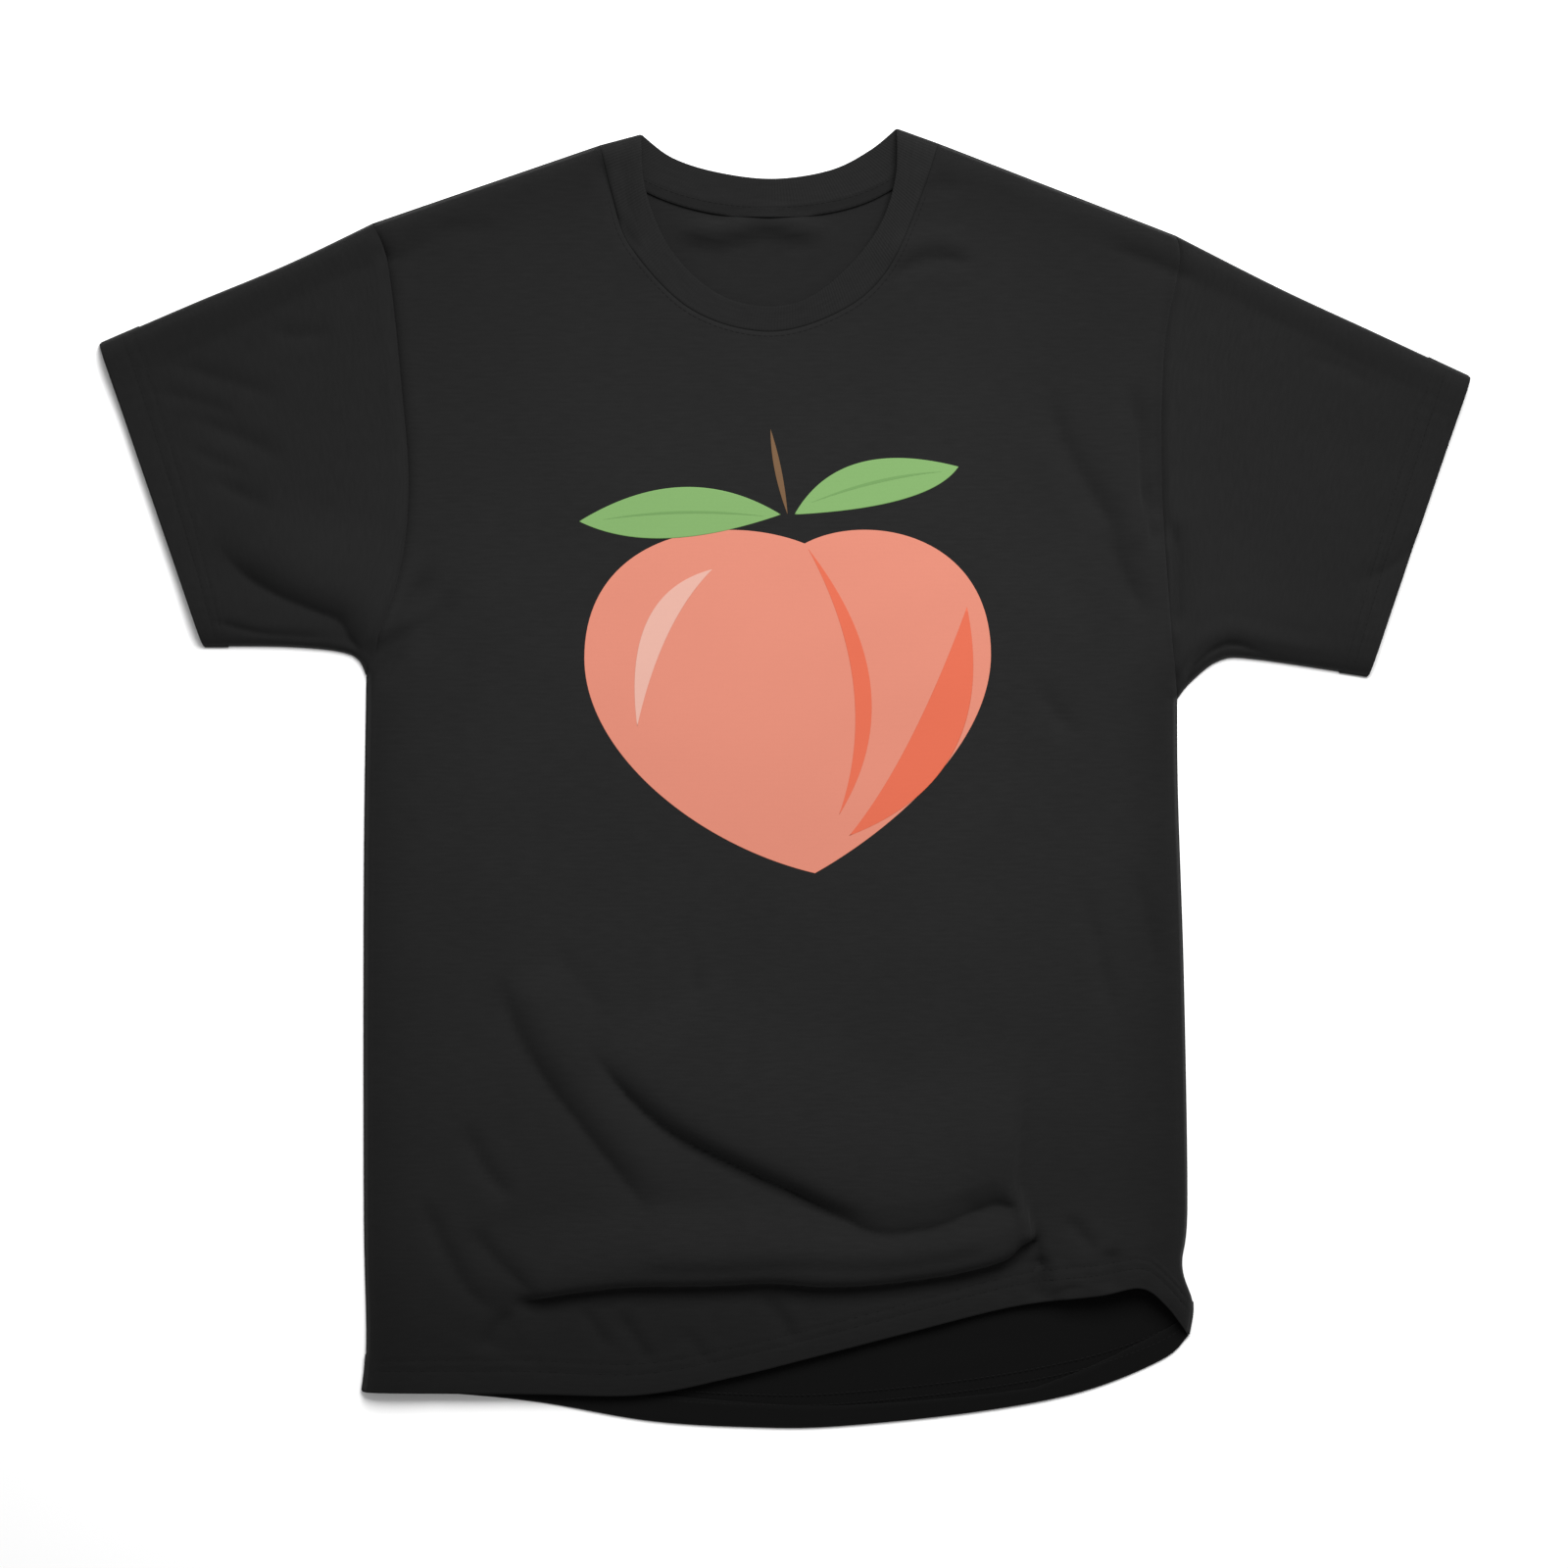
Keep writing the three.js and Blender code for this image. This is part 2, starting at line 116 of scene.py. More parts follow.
class Curve:
    """A smooth curve in plan through a few places, measured along its length."""

    STEPS = 24  # between two places that it goes through
    STRIDE = 3  # steps to a straight piece, when places are measured against it

    def __init__(self, places: Sequence[Place]) -> None:
        """Lay a spline through the places.

        Args:
            places: two or more places in millimetres, in order.
        """
        knots = np.array([places[0], *places, places[-1]], float)
        t = np.linspace(0.0, 1.0, self.STEPS, endpoint=False)[:, None]
        runs = [self._run(knots[i : i + 4], t) for i in range(len(knots) - 3)]
        self.line = np.vstack([*runs, knots[-1:]])
        steps = np.linalg.norm(np.diff(self.line, axis=0), axis=1)
        self.along = np.concatenate([[0.0], np.cumsum(steps)])

    @staticmethod
    def _run(p: Points, t: Points) -> Points:
        """Lay the spline between the middle two of four knots.

        Args:
            p: the four knots.
            t: shares of the way from the second knot to the third.

        Returns:
            The places.
        """
        ahead, behind = (p[2] - p[0]) / 2, (p[3] - p[1]) / 2
        rise = 2 * t**3 - 3 * t**2
        leaving, arriving = ahead * (t**3 - 2 * t**2 + t), behind * (t**3 - t**2)
        return p[1] * (rise + 1) + leaving - p[2] * rise + arriving

    @property
    def length(self) -> float:
        """Length of the curve in millimetres."""
        return float(self.along[-1])

    def at(self, share: Points) -> Points:
        """Find places on the curve.

        Args:
            share: shares of its length, 0 to 1.

        Returns:
            An array of x and y.
        """
        distance = np.clip(share, 0.0, 1.0) * self.length
        x = np.interp(distance, self.along, self.line[:, 0])
        y = np.interp(distance, self.along, self.line[:, 1])
        return np.stack([x, y], axis=-1)

    def nearest(self, x: Points, y: Points) -> tuple[Points, Points]:
        """Measure places against the curve.

        Args:
            x: places across.
            y: places along.

        Returns:
            The signed distance, positive on the left of the curve, and the distance along it.
        """
        knots = np.vstack([self.line[:: self.STRIDE], self.line[-1:]])
        best = np.full(x.shape, np.inf)
        signed = np.zeros(x.shape)
        reach = np.zeros(x.shape)
        start = 0.0
        for (ax, ay), (bx, by) in zip(knots[:-1], knots[1:]):
            dx, dy = bx - ax, by - ay
            span = math.hypot(dx, dy)
            if span == 0.0:
                continue
            t = np.clip(((x - ax) * dx + (y - ay) * dy) / span**2, 0.0, 1.0)
            off = np.hypot(x - ax - t * dx, y - ay - t * dy)
            cross = dx * (y - ay) - dy * (x - ax)
            closer = off < best
            best = np.where(closer, off, best)
            signed = np.where(closer, np.where(cross < 0, -off, off), signed)
            reach = np.where(closer, start + t * span, reach)
            start += span
        return signed, reach


@dataclass(frozen=True)
class Fold:
    """A fold of cloth: a crease line with soft rolls beside it.

    Attributes:
        path: the crease, in millimetres.
        left: the roll on the left of the path: its height, how far its crest is from the crease,
            and how far beyond the crest it has gone.
        right: the roll on the right of the path.
        depth: how far the cloth sinks at the crease.
        soft: how far from the crease it sinks, on the left and on the right.
        fade: the stretches at the crease's start and end over which it comes and goes.
        lean: how far the rolls hang over towards the right.
    """

    path: tuple[Place, ...]
    left: tuple[float, float, float]
    right: tuple[float, float, float]
    depth: float
    soft: Place
    fade: Place = (25.0, 25.0)
    lean: float = 0.0

    POINT = 0.9  # how pointed the crease is: 2 is round, 1 is sharp
    AHEAD = 4.0  # over which the crease's direction is taken
    TINY = 1e-6

    @staticmethod
    def _roll(off: Points, roll: tuple[float, float, float]) -> Points:
        """Shape a roll beside the crease.

        Args:
            off: distances from the crease, on the roll's side.
            roll: its height, the distance to its crest, and how far beyond that it has gone.

        Returns:
            Its height at each distance.
        """
        height, crest, tail = roll
        rising = np.sin(0.5 * np.pi * np.clip(off / crest, 0.0, 1.0))
        falling = 0.5 + 0.5 * np.cos(np.pi * np.clip((off - crest) / tail, 0.0, 1.0))
        return height * np.where(off > crest, falling, rising)

    def lift(self, x: Points, y: Points) -> tuple[Points, Points, Points]:
        """Measure how far the fold moves the cloth.

        Args:
            x: places across.
            y: places along.

        Returns:
            How far it moves each place up, across and along.
        """
        curve = Curve(self.path)
        reach = max(sum(self.left[1:]), sum(self.right[1:]), 4 * max(self.soft))
        low, high = curve.line.min(axis=0) - reach, curve.line.max(axis=0) + reach
        near = (x > low[0]) & (x < high[0]) & (y > low[1]) & (y < high[1])
        up, across, along = np.zeros(x.shape), np.zeros(x.shape), np.zeros(x.shape)
        if not near.any():
            return up, across, along
        off, run = curve.nearest(x[near], y[near])
        ends = smooth(0.0, self.fade[0], run) * smooth(0.0, self.fade[1], curve.length - run)
        roll = self._roll(off, self.left) + self._roll(-off, self.right)
        width = np.where(off > 0, self.soft[0], self.soft[1])
        sink = self.depth * np.exp(-((np.abs(off) / width) ** self.POINT))
        up[near] = ends * (roll - sink)
        if self.lean:
            beyond, before = run + self.AHEAD, run - self.AHEAD
            ahead = curve.at(beyond / curve.length) - curve.at(before / curve.length)
            ahead /= np.maximum(np.linalg.norm(ahead, axis=-1, keepdims=True), self.TINY)
            push = self.lean * ends * np.where(off > 0, roll / max(self.left[0], self.TINY), 0.0)
            across[near] = push * ahead[..., 1]
            along[near] = -push * ahead[..., 0]
        return up, across, along


# ---- The pattern ----------------------------------------------------------------------------
@dataclass(frozen=True)
class Half:
    """One side of the garment as it lies: the corners of its seams and its sleeve."""

    neck: Place
    shoulder: Place
    armhole: tuple[Place, ...]
    underarm: Place
    side: tuple[Place, ...]
    hem: Place
    cuff_top: Place
    cuff_bottom: Place
    under_sleeve: tuple[Place, ...]
    over_sleeve: tuple[Place, ...]


@dataclass(frozen=True)
class Pattern:
    """The garment's outlines in plan, in millimetres, as it lies."""

    right: Half = Half(
        neck=(-108.5, 371),
        shoulder=(-242, 325),
        armhole=((-227, 112), (-220.5, 168), (-224.5, 228), (-232.5, 300)),
        underarm=(-245.5, 60),
        side=((-247, -60), (-247, -250), (-245.5, -330)),
        hem=(-248, -360),
        cuff_top=(-402, 254.5),
        cuff_bottom=(-341, 77),
        under_sleeve=((-254.5, 72), (-288, 76.5)),
        over_sleeve=((-292, 301), (-345, 279)),
    )
    left: Half = Half(
        neck=(90, 372),
        shoulder=(229, 318),
        armhole=((226, 90), (221, 170), (222, 250), (231, 300)),
        underarm=(230, 46),
        side=((230.5, -10), (234, -119), (236, -250), (233, -286), (239, -308)),
        hem=(236.5, -327),
        cuff_top=(402, 235),
        cuff_bottom=(342, 59.5),
        under_sleeve=((238, 56), (254.5, 68.5), (275, 69.5)),
        over_sleeve=((290, 287), (345, 261.5)),
    )
    peaks: tuple[Place, Place] = ((-84, 377.5), (65, 381))
    front_neck: tuple[Place, ...] = (
        (-101.5, 341), (-90, 310), (-55, 274), (-9.5, 261), (32.5, 273), (60, 297), (80, 341),
    )
    front_collar: tuple[Place, ...] = (
        (-81, 343), (-66, 308.5), (-38.5, 283), (-5, 276), (23, 287), (52, 318), (64, 349),
    )
    back_neck: tuple[Place, ...] = ((-86, 349.5), (-50, 336), (-7, 331.5), (36, 337), (66, 350.5))
    back_collar: tuple[Place, ...] = ((-66, 364), (-40, 355.5), (-7, 351.5), (26, 356.5), (49, 368))
    front_hem: tuple[Place, ...] = (
        (-150, -361), (-85, -361.5), (-30, -351), (22, -338), (72.5, -325), (133, -310),
        (183, -303), (208, -298.5), (223, -309),
    )
    back_hem: tuple[Place, ...] = (
        (-201, -361), (-144, -366.5), (-79, -377.5), (-18, -381.2), (32, -380.5), (113, -372),
        (175, -360), (222, -341),
    )

    def half(self, side: Side) -> Half:
        """Return the half of the pattern on a side."""
        return self.left if side is Side.LEFT else self.right

    def armhole(self, side: Side) -> Curve:
        """Return a side's armhole, from the underarm to the shoulder."""
        half = self.half(side)
        return Curve([half.underarm, *half.armhole, half.shoulder])

    def side_seam(self, side: Side) -> Curve:
        """Return a side's seam, from the underarm down to the hem."""
        half = self.half(side)
        return Curve([half.underarm, *half.side, half.hem])

    def under_sleeve(self, side: Side) -> Curve:
        """Return the lower fold of a sleeve, from the underarm to the cuff."""
        half = self.half(side)
        return Curve([half.underarm, *half.under_sleeve, half.cuff_bottom])

    def over_sleeve(self, side: Side) -> Curve:
        """Return the upper fold of a sleeve, from the shoulder to the cuff."""
        half = self.half(side)
        return Curve([half.shoulder, *half.over_sleeve, half.cuff_top])

    def shoulder(self, side: Side) -> Curve:
        """Return a shoulder, from the neck outwards."""
        half = self.half(side)
        return Curve([half.neck, half.shoulder])

    def collar_fold(self, side: Side) -> Curve:
        """Return where the collar folds over to the back, from its seam to its peak."""
        return Curve([self.half(side).neck, self.peaks[0 if side is Side.RIGHT else 1]])

    def neck_seam(self, front: bool) -> Curve:
        """Return the front's or the back's neck seam, from the right to the left."""
        between = self.front_neck if front else self.back_neck
        return Curve([self.right.neck, *between, self.left.neck])

    def collar_edge(self, front: bool) -> Curve:
        """Return the collar's free edge on the front or the back, from the right to the left."""
        between = self.front_collar if front else self.back_collar
        return Curve([self.peaks[0], *between, self.peaks[1]])

    def hem(self, front: bool) -> Curve:
        """Return the front's or the back's hem, from the right to the left."""
        between = self.front_hem if front else self.back_hem
        return Curve([self.right.hem, *between, self.left.hem])

    def closed_edges(self) -> list[Curve]:
        """List the garment's edges that are folds or closed seams.

        Returns:
            The right side's edges, then the left's.
        """
        sleeve = (self.under_sleeve, self.over_sleeve)
        edges = (self.side_seam, *sleeve, self.shoulder, self.collar_fold)
        return [edge(side) for side in Side for edge in edges]


# ---- The lie of the cloth -------------------------------------------------------------------
NO_ROLL = (0.0, 1.0, 1.0)


def wrinkle(
    *path: Place,
    rise: float = 1.0,
    wide: float = 9.0,
    depth: float = 1.0,
    fade: float = 18.0,
    sharp: float = 4.0,
) -> Fold:
    """Make a short soft wrinkle that stands up on the left of its path and is sharper on the right.

    Args:
        path: the wrinkle's crease.
        rise: height of its roll.
        wide: from the crease to the roll's crest.
        depth: how far the crease sinks.
        fade: over which its ends come and go.
        sharp: how far the crease reaches on its sharper side.

    Returns:
        The wrinkle as a fold.
    """
    left, right = (rise, wide, 1.6 * wide), (0.3 * rise, wide, wide)
    return Fold(path, left, right, depth, (2.0 * sharp, sharp), (fade, fade))


@dataclass(frozen=True)
class Lie:
    """How high the garment's two layers of cloth lie over the table, in millimetres."""

    pattern: Pattern
    edge: float = 1.2  # height at which the layers meet, at a fold or closed seam
    hem_edge: float = 0.9  # more, where their hems meet
    shoulder: float = 9.4  # top of the cloth just inside a fold
    slack: float = 8.0  # top of the cloth well inside
    roll: float = 13.0  # from a fold to the top of its curve
    settle: float = 50.0  # from a fold to where the cloth lies slack
    under: float = 0.3  # outer face of the lower layer
    under_roll: float = 4.0  # from a fold to where the lower layer lies on the table
    hold: float = 9.0  # from a fold or closed seam to where the cloth is free to crease

    HEMS_MEET = (-332.0, -296.0)  # along the shirt, over which the hems' extra height comes in
    LOOSE = (3.0, 40.0)  # from a fold, over which the cloth's slight waves come in
    WAVES = ((5, 150.0, 1.6), (8, 48.0, 0.32))  # of each: seed, length and height
    RAISED = (196.0, -302.0)  # middle of the raised piece of the front's hem
    RAISED_SPREAD = 34.0
    RAISED_HEIGHT = 7.0
    SEAM = Fold((), (0.5, 5.0, 9.0), (0.5, 5.0, 9.0), depth=2.4, soft=(2.0, 2.0), fade=(12.0, 12.0))

    FRONT_FOLDS = (
        # the long diagonal fold from the right side to the middle of the hem
        Fold(
            (
                (-120, -146), (-103, -173), (-69.5, -206), (-29, -228), (4.5, -243.5),
                (31.5, -256.5), (55, -263.5), (89, -259.5), (109.5, -252), (123, -247),
                (137, -247.5),
            ),
            left=(10, 21, 80), right=(-1, 6, 26), depth=6.8, soft=(12, 5.4), fade=(52, 8),
            lean=6.6,
        ),
        # the fold beside it, nearer the right seam
        Fold(
            ((-169, -112), (-160.5, -142), (-144, -173), (-123.5, -200), (-100, -230), (-72, -264)),
            left=(5.8, 19, 34), right=(-0.6, 9, 25), depth=5.2, soft=(11, 7), fade=(26, 46),
            lean=1.5,
        ),
        # the roll that hangs over the hem
        Fold(
            (
                (-167, -313), (-147, -306.5), (-96.5, -299.5), (-46, -298.5), (-8.5, -297),
                (22, -299), (55, -297.5), (99.5, -291.5), (129, -283.5), (139.5, -274.5),
                (150, -270),
            ),
            left=(10.4, 16, 34), right=(-1.6, 6, 60), depth=7.4, soft=(12, 10), fade=(30, 5),
            lean=8,
        ),
        # the crest between the two, which faces away from the light below it
        Fold(
            ((-96, -280), (-52, -281), (0, -279), (60, -279), (104, -272), (132, -262)),
            left=(4.2, 9, 28), right=NO_ROLL, depth=0.4, soft=(4, 4), fade=(30, 34),
        ),
        # the end of the roll, where it is pinched together
        wrinkle(
            (140, -250), (143, -262), (150, -272),
            rise=0.9, wide=5, depth=2.4, fade=5, sharp=3,
        ),
        Fold(
            ((149, -308), (148.5, -294), (150, -279)),
            left=(1.8, 8, 10), right=(2.2, 8, 12), depth=7, soft=(7, 7), fade=(7, 6),
        ),
        # short folds between the roll and the right seam
        wrinkle(
            (-213, -243), (-203, -270), (-186, -300), (-166, -318),
            rise=1.5, depth=4.6, fade=22, sharp=5,
        ),
        wrinkle((-188, -200), (-178, -226), (-158, -252), rise=1.5, depth=4.4, wide=9, sharp=5),
        wrinkle(
            (-186, -262), (-170, -282), (-146, -297),
            rise=1.3, depth=4.2, wide=9, fade=14, sharp=6.5,
        ),
        wrinkle((-210, -150), (-214, -190), (-216, -225), rise=0.5, depth=0.7, wide=10),
        wrinkle(
            (-158, -312), (-170, -322), (-178, -338),
            rise=0.9, depth=5, wide=8, fade=9, sharp=7,
        ),
        # short pleats under the roll
        wrinkle(
            (-120, -309), (-112, -322), (-101, -338),
            rise=1, wide=6, depth=3.4, fade=10, sharp=3.5,
        ),
        wrinkle(
            (-99, -312), (-88, -328), (-77, -346),
            rise=1.1, wide=6, depth=3.8, fade=10, sharp=3.5,
        ),
        wrinkle((-13, -301), (-3, -316), (6, -333), rise=1.3, wide=7, depth=4.2, fade=9, sharp=4),
        wrinkle(
            (-60, -322), (-52, -334), (-44, -345),
            rise=0.7, wide=6, depth=2.3, fade=8, sharp=3.5,
        ),
        # wrinkles by the raised part of the hem
        wrinkle((163, -256), (172, -266), (183, -280), rise=1.2, wide=7, depth=3.8, fade=10),
        wrinkle(
            (190, -274), (191, -286), (190, -302),
            rise=1.5, wide=8, depth=5, fade=8, sharp=5.5,
        ),
        wrinkle(
            (157, -308), (162, -300), (178, -298),
            rise=1.4, wide=5, depth=0.8, fade=8, sharp=3,
        ),
        # long soft folds down the left side
        wrinkle((172, -55), (181, -95), (194, -150), rise=1.2, depth=3, fade=34, sharp=5),
        wrinkle((204, -48), (211, -84), (219, -122), rise=1, depth=2.6, fade=26, sharp=5),
        wrinkle((-58, -72), (-55, -106), (-47, -150), rise=0.4, depth=1.5, fade=30, sharp=4),
        wrinkle((-140, -92), (-118, -124), (-100, -142), rise=0.6, depth=1, fade=24, sharp=5),
        # drag lines beside the left armhole
        Fold(
            ((216, 132), (213.5, 150), (209.5, 171), (208.5, 190), (206.5, 209), (202, 234)),
            left=(3.4, 8, 24), right=(0.4, 4, 6), depth=6.8, soft=(6, 6), fade=(12, 34), lean=2.4,
        ),
        Fold(
            ((218, 150), (219.5, 171), (218.5, 190), (219, 205), (221, 226)),
            left=(0.6, 4, 5), right=(1.6, 4, 9), depth=5, soft=(4, 2.4), fade=(10, 24),
        ),
        Fold(
            ((225.5, 152), (229, 131), (229.7, 110), (228.5, 82)),
            left=(1.2, 9, 16), right=(1.6, 4, 4), depth=6, soft=(8, 3), fade=(14, 14),
        ),
        Fold(
            (
                (152, 234), (162, 199), (177, 169), (188, 151), (191, 136), (199, 116),
                (213, 88),
            ),
            left=(1.6, 12, 20), right=(1, 12, 18), depth=5, soft=(9, 6), fade=(40, 26),
        ),
        wrinkle((143, 65), (158, 37), (178, 19), rise=1, depth=3, wide=12, fade=26, sharp=6),
        # below the left of the collar
        wrinkle((60, 290), (76, 301), (92, 303.5), (112, 301), rise=3, depth=3.6, wide=9, fade=16),
        wrinkle((78, 339), (90, 346), (104, 344), rise=1, depth=2.4, wide=7, fade=8),
        # drag lines from the right underarm, and a nick by the right shoulder
        wrinkle(
            (-238, 48), (-228, 76), (-216, 104), (-204, 126),
            rise=1.6, depth=6, wide=9, fade=22, sharp=6,
        ),
        wrinkle((-214, 66), (-202, 92), (-190, 112), rise=0.9, depth=3.4, wide=8, fade=16, sharp=6),
        wrinkle((-222, 301), (-231, 306), (-240, 310), rise=1, wide=5, depth=3, fade=4, sharp=3),
        # the right sleeve's crease towards the underarm
        Fold(
            (
                (-340, 146), (-320, 121), (-298, 107), (-277, 98), (-262, 92), (-256, 83),
                (-247, 68),
            ),
            left=(7, 20, 44), right=(-0.6, 8, 16), depth=5.6, soft=(12, 8), fade=(44, 9), lean=2,
        ),
        wrinkle(
            (-340, 93), (-305, 84), (-262, 81),
            rise=0.9, wide=5, depth=3.2, fade=20, sharp=2.2,
        ),
        wrinkle(
            (-364, 243), (-330, 233), (-290, 220),
            rise=0.8, wide=10, depth=2.4, fade=24, sharp=5.5,
        ),
        wrinkle(
            (-355, 213), (-322, 200), (-288, 184),
            rise=0.9, wide=10, depth=3, fade=24, sharp=5.5,
        ),
        wrinkle(
            (-340, 178), (-318, 165), (-296, 157),
            rise=0.9, wide=10, depth=3, fade=18, sharp=5.5,
        ),
        wrinkle(
            (-372, 226), (-350, 222), (-316, 211),
            rise=0.7, wide=7, depth=2, fade=16, sharp=4.5,
        ),
        wrinkle(
            (-352, 196), (-330, 184), (-312, 178),
            rise=0.7, wide=7, depth=2, fade=14, sharp=4.5,
        ),
        # soft hollows along the top of the sleeves and shoulders
        Fold(
            ((-385, 232), (-320, 264), (-250, 297), (-170, 325)),
            left=(0.9, 16, 12), right=(0.6, 18, 30), depth=1.6, soft=(12, 12), fade=(40, 50),
        ),
        Fold(
            ((160, 324), (240, 290), (320, 251), (386, 218)),
            left=(0.9, 16, 12), right=(0.6, 18, 30), depth=1.6, soft=(12, 12), fade=(50, 40),
        ),
        # short drags across the shoulder seams
        wrinkle(
            (-305, 262), (-285, 258), (-262, 262),
            rise=0.7, wide=9, depth=2.6, fade=14, sharp=6,
        ),
        wrinkle(
            (-210, 318), (-190, 322), (-165, 318),
            rise=0.7, wide=8, depth=2.4, fade=14, sharp=5.5,
        ),
        wrinkle((190, 310), (216, 301), (244, 288), rise=0.8, wide=8, depth=3, fade=16, sharp=5.5),
        wrinkle((300, 248), (330, 238), (352, 222), rise=0.6, wide=9, depth=2.2, fade=16, sharp=6),
        # the valley along the right of the neck seam
        wrinkle(
            (-110, 368), (-104.5, 348), (-98, 328), (-86, 304),
            rise=0.4, wide=7, depth=4, fade=14, sharp=3.5,
        ),
        wrinkle(
            (-94, 369), (-95, 350), (-88, 320),
            rise=0.5, wide=6, depth=2.2, fade=16, sharp=3.5,
        ),
        # the left sleeve's creases towards the underarm
        Fold(
            ((234, 54), (243, 68), (260, 78), (283, 72), (318, 67), (341, 62)),
            left=(2.8, 7, 12), right=(1.6, 4, 5), depth=4.4, soft=(4, 3), fade=(8, 60),
        ),
        wrinkle((330, 112), (356, 124), (376, 146), rise=0.9, depth=2.8, wide=10, fade=18, sharp=6),
    )
    BACK_FOLDS = (
        Fold(
            ((-70, 314), (-36, 312), (-12, 317), (8, 314), (30, 311)),
            left=(8.6, 10, 8), right=NO_ROLL, depth=0, soft=(3, 3), fade=(24, 26),
        ),
        wrinkle((2, 290), (22, 299), (40, 310), rise=0.9, depth=0.8, wide=8, fade=14),
        wrinkle((60, -357), (100, -352), (150, -344), rise=0.8, depth=0.8, wide=7, fade=24),
    )

    def _inside(self, x: Points, y: Points) -> Points:
        """Return how far each place is from the nearest fold or closed seam."""
        distances = [np.abs(edge.nearest(x, y)[0]) for edge in self.pattern.closed_edges()]
        return np.minimum.reduce(distances)

    @staticmethod
    def _ripple(x: Points, y: Points, seed: int, wave: float, height: float) -> Points:
        """Make gentle waves that don't repeat.

        Args:
            x: places across.
            y: places along.
            seed: of the waves' directions and lengths.
            wave: length of a wave.
            height: height of the waves.

        Returns:
            How far the waves lift each place.
        """
        draw, count = np.random.default_rng(seed), 7
        total = np.zeros(x.shape)
        for _ in range(count):
            angle, phase = draw.uniform(0.0, 2 * np.pi, 2)
            length = wave * draw.uniform(0.7, 1.6)
            total += np.sin((x * np.cos(angle) + y * np.sin(angle)) * 2 * np.pi / length + phase)
        return height * total / count

    def hem_lift(self, x: Points, y: Points) -> Points:
        """Find how far the front's hem is lifted off the back near its left end.

        Args:
            x: places across.
            y: places along.

        Returns:
            The lift at each place.
        """
        across, along = (
            (at - middle) / self.RAISED_SPREAD for at, middle in zip((x, y), self.RAISED)
        )
        return self.RAISED_HEIGHT * np.exp(-(across**2)) * np.exp(-(along**2))

    @staticmethod
    def doubled(turned: Points) -> Points:
        """Return how far in turned cloth lies, at distances from where it turns."""
        return DOUBLED * rounded(turned, DOUBLED)

    @staticmethod
    def stitched(far: Points, along: Points) -> Points:
        """Return the relief of a stitched hem: its rows pull in and the cloth puckers between them.

        Args:
            far: distances from the hem's edge.
            along: distances along it.

        Returns:
            How far the cloth stands up.
        """
        full, pull, width, puckered = 0.35, 0.42, 1.3, 0.16  # how much each of them comes to
        pulled = sum(np.exp(-(((far - row) / width) ** 2)) for row in ROWS)
        band = smooth(1.0, 6.0, far) * (1.0 - smooth(HEM - 2.0, HEM + 3.0, far))
        pucker = np.sin(along * 0.83 + 2.2 * np.sin(along * 0.021)) * np.sin(along * 0.047 + 0.6)
        return full * band - pull * pulled + puckered * pucker * band

    def _edge(self, y: Points) -> Points:
        """Return the height at which the layers meet."""
        return self.edge + self.hem_edge * (1.0 - smooth(*self.HEMS_MEET, y))

    def _seams(self) -> list[Fold]:
        """Return the valleys along the armholes, where the cloth is sewn together."""
        paths = ((h.underarm, *h.armhole, h.shoulder) for h in map(self.pattern.half, Side))
        return [replace(self.SEAM, path=path) for path in paths]

    def upper(self, x: Points, y: Points) -> Points:
        """Place the upper layer's outer face.

        Args:
            x: places across the pattern.
            y: places along it.

        Returns:
            An array of x, y and z, moved as the folds move the cloth.
        """
        inside = self._inside(x, y)
        edge = self._edge(y)
        near = 1.0 - smooth(self.roll, self.settle, inside)
        crown = self.slack + (self.shoulder - self.slack) * near
        z = edge + (crown - edge) * rounded(inside, self.roll)
        z = z + smooth(*self.LOOSE, inside) * sum(self._ripple(x, y, *wave) for wave in self.WAVES)
        z = z + self.hem_lift(x, y) * smooth(0.0, HEM, inside)
        px, py = x.copy(), y.copy()
        hold = smooth(0.0, self.hold, inside)
        for fold in (*self.FRONT_FOLDS, *self._seams()):
            up, across, along = fold.lift(x, y)
            z = z + up * hold
            px += across * hold
            py += along * hold
        return np.stack([px, py, np.maximum(z, edge)], axis=-1)

    def lower(self, x: Points, y: Points) -> Points:
        """Place the lower layer's outer face, which lies on the table.

        Args:
            x: places across the pattern.
            y: places along it.

        Returns:
            An array of x, y and z.
        """
        inside = self._inside(x, y)
        z = self.under + (self._edge(y) - self.under) * (1.0 - rounded(inside, self.under_roll))
        hold = smooth(0.0, self.hold, inside)
        for fold in self.BACK_FOLDS:
            z = z + fold.lift(x, y)[0] * hold
        return np.stack([x, y, np.maximum(z, self.under)], axis=-1)

    def measure(self, piece: bpy.types.Object) -> None:
        """Write how far, in metres, a piece's corners are from the nearest closed edge, for the
        painted shade there.

        Args:
            piece: the piece, which gets the distances as its second UV map.
        """
        mesh = piece.data
        flat = np.zeros(3 * len(mesh.vertices))
        mesh.vertices.foreach_get("co", flat)
        corners = (flat.reshape(-1, 3) - Weaver.origin) / Weaver.scale
        inside = self._inside(corners[:, 0], corners[:, 1]) * MM
        of_loop = np.zeros(len(mesh.loops), int)
        mesh.loops.foreach_get("vertex_index", of_loop)
        places = np.stack([inside[of_loop], np.zeros(len(of_loop))], axis=-1)
        mesh.uv_layers.new(name=Weaver.EDGE, do_init=False).data.foreach_set("uv", places.ravel())


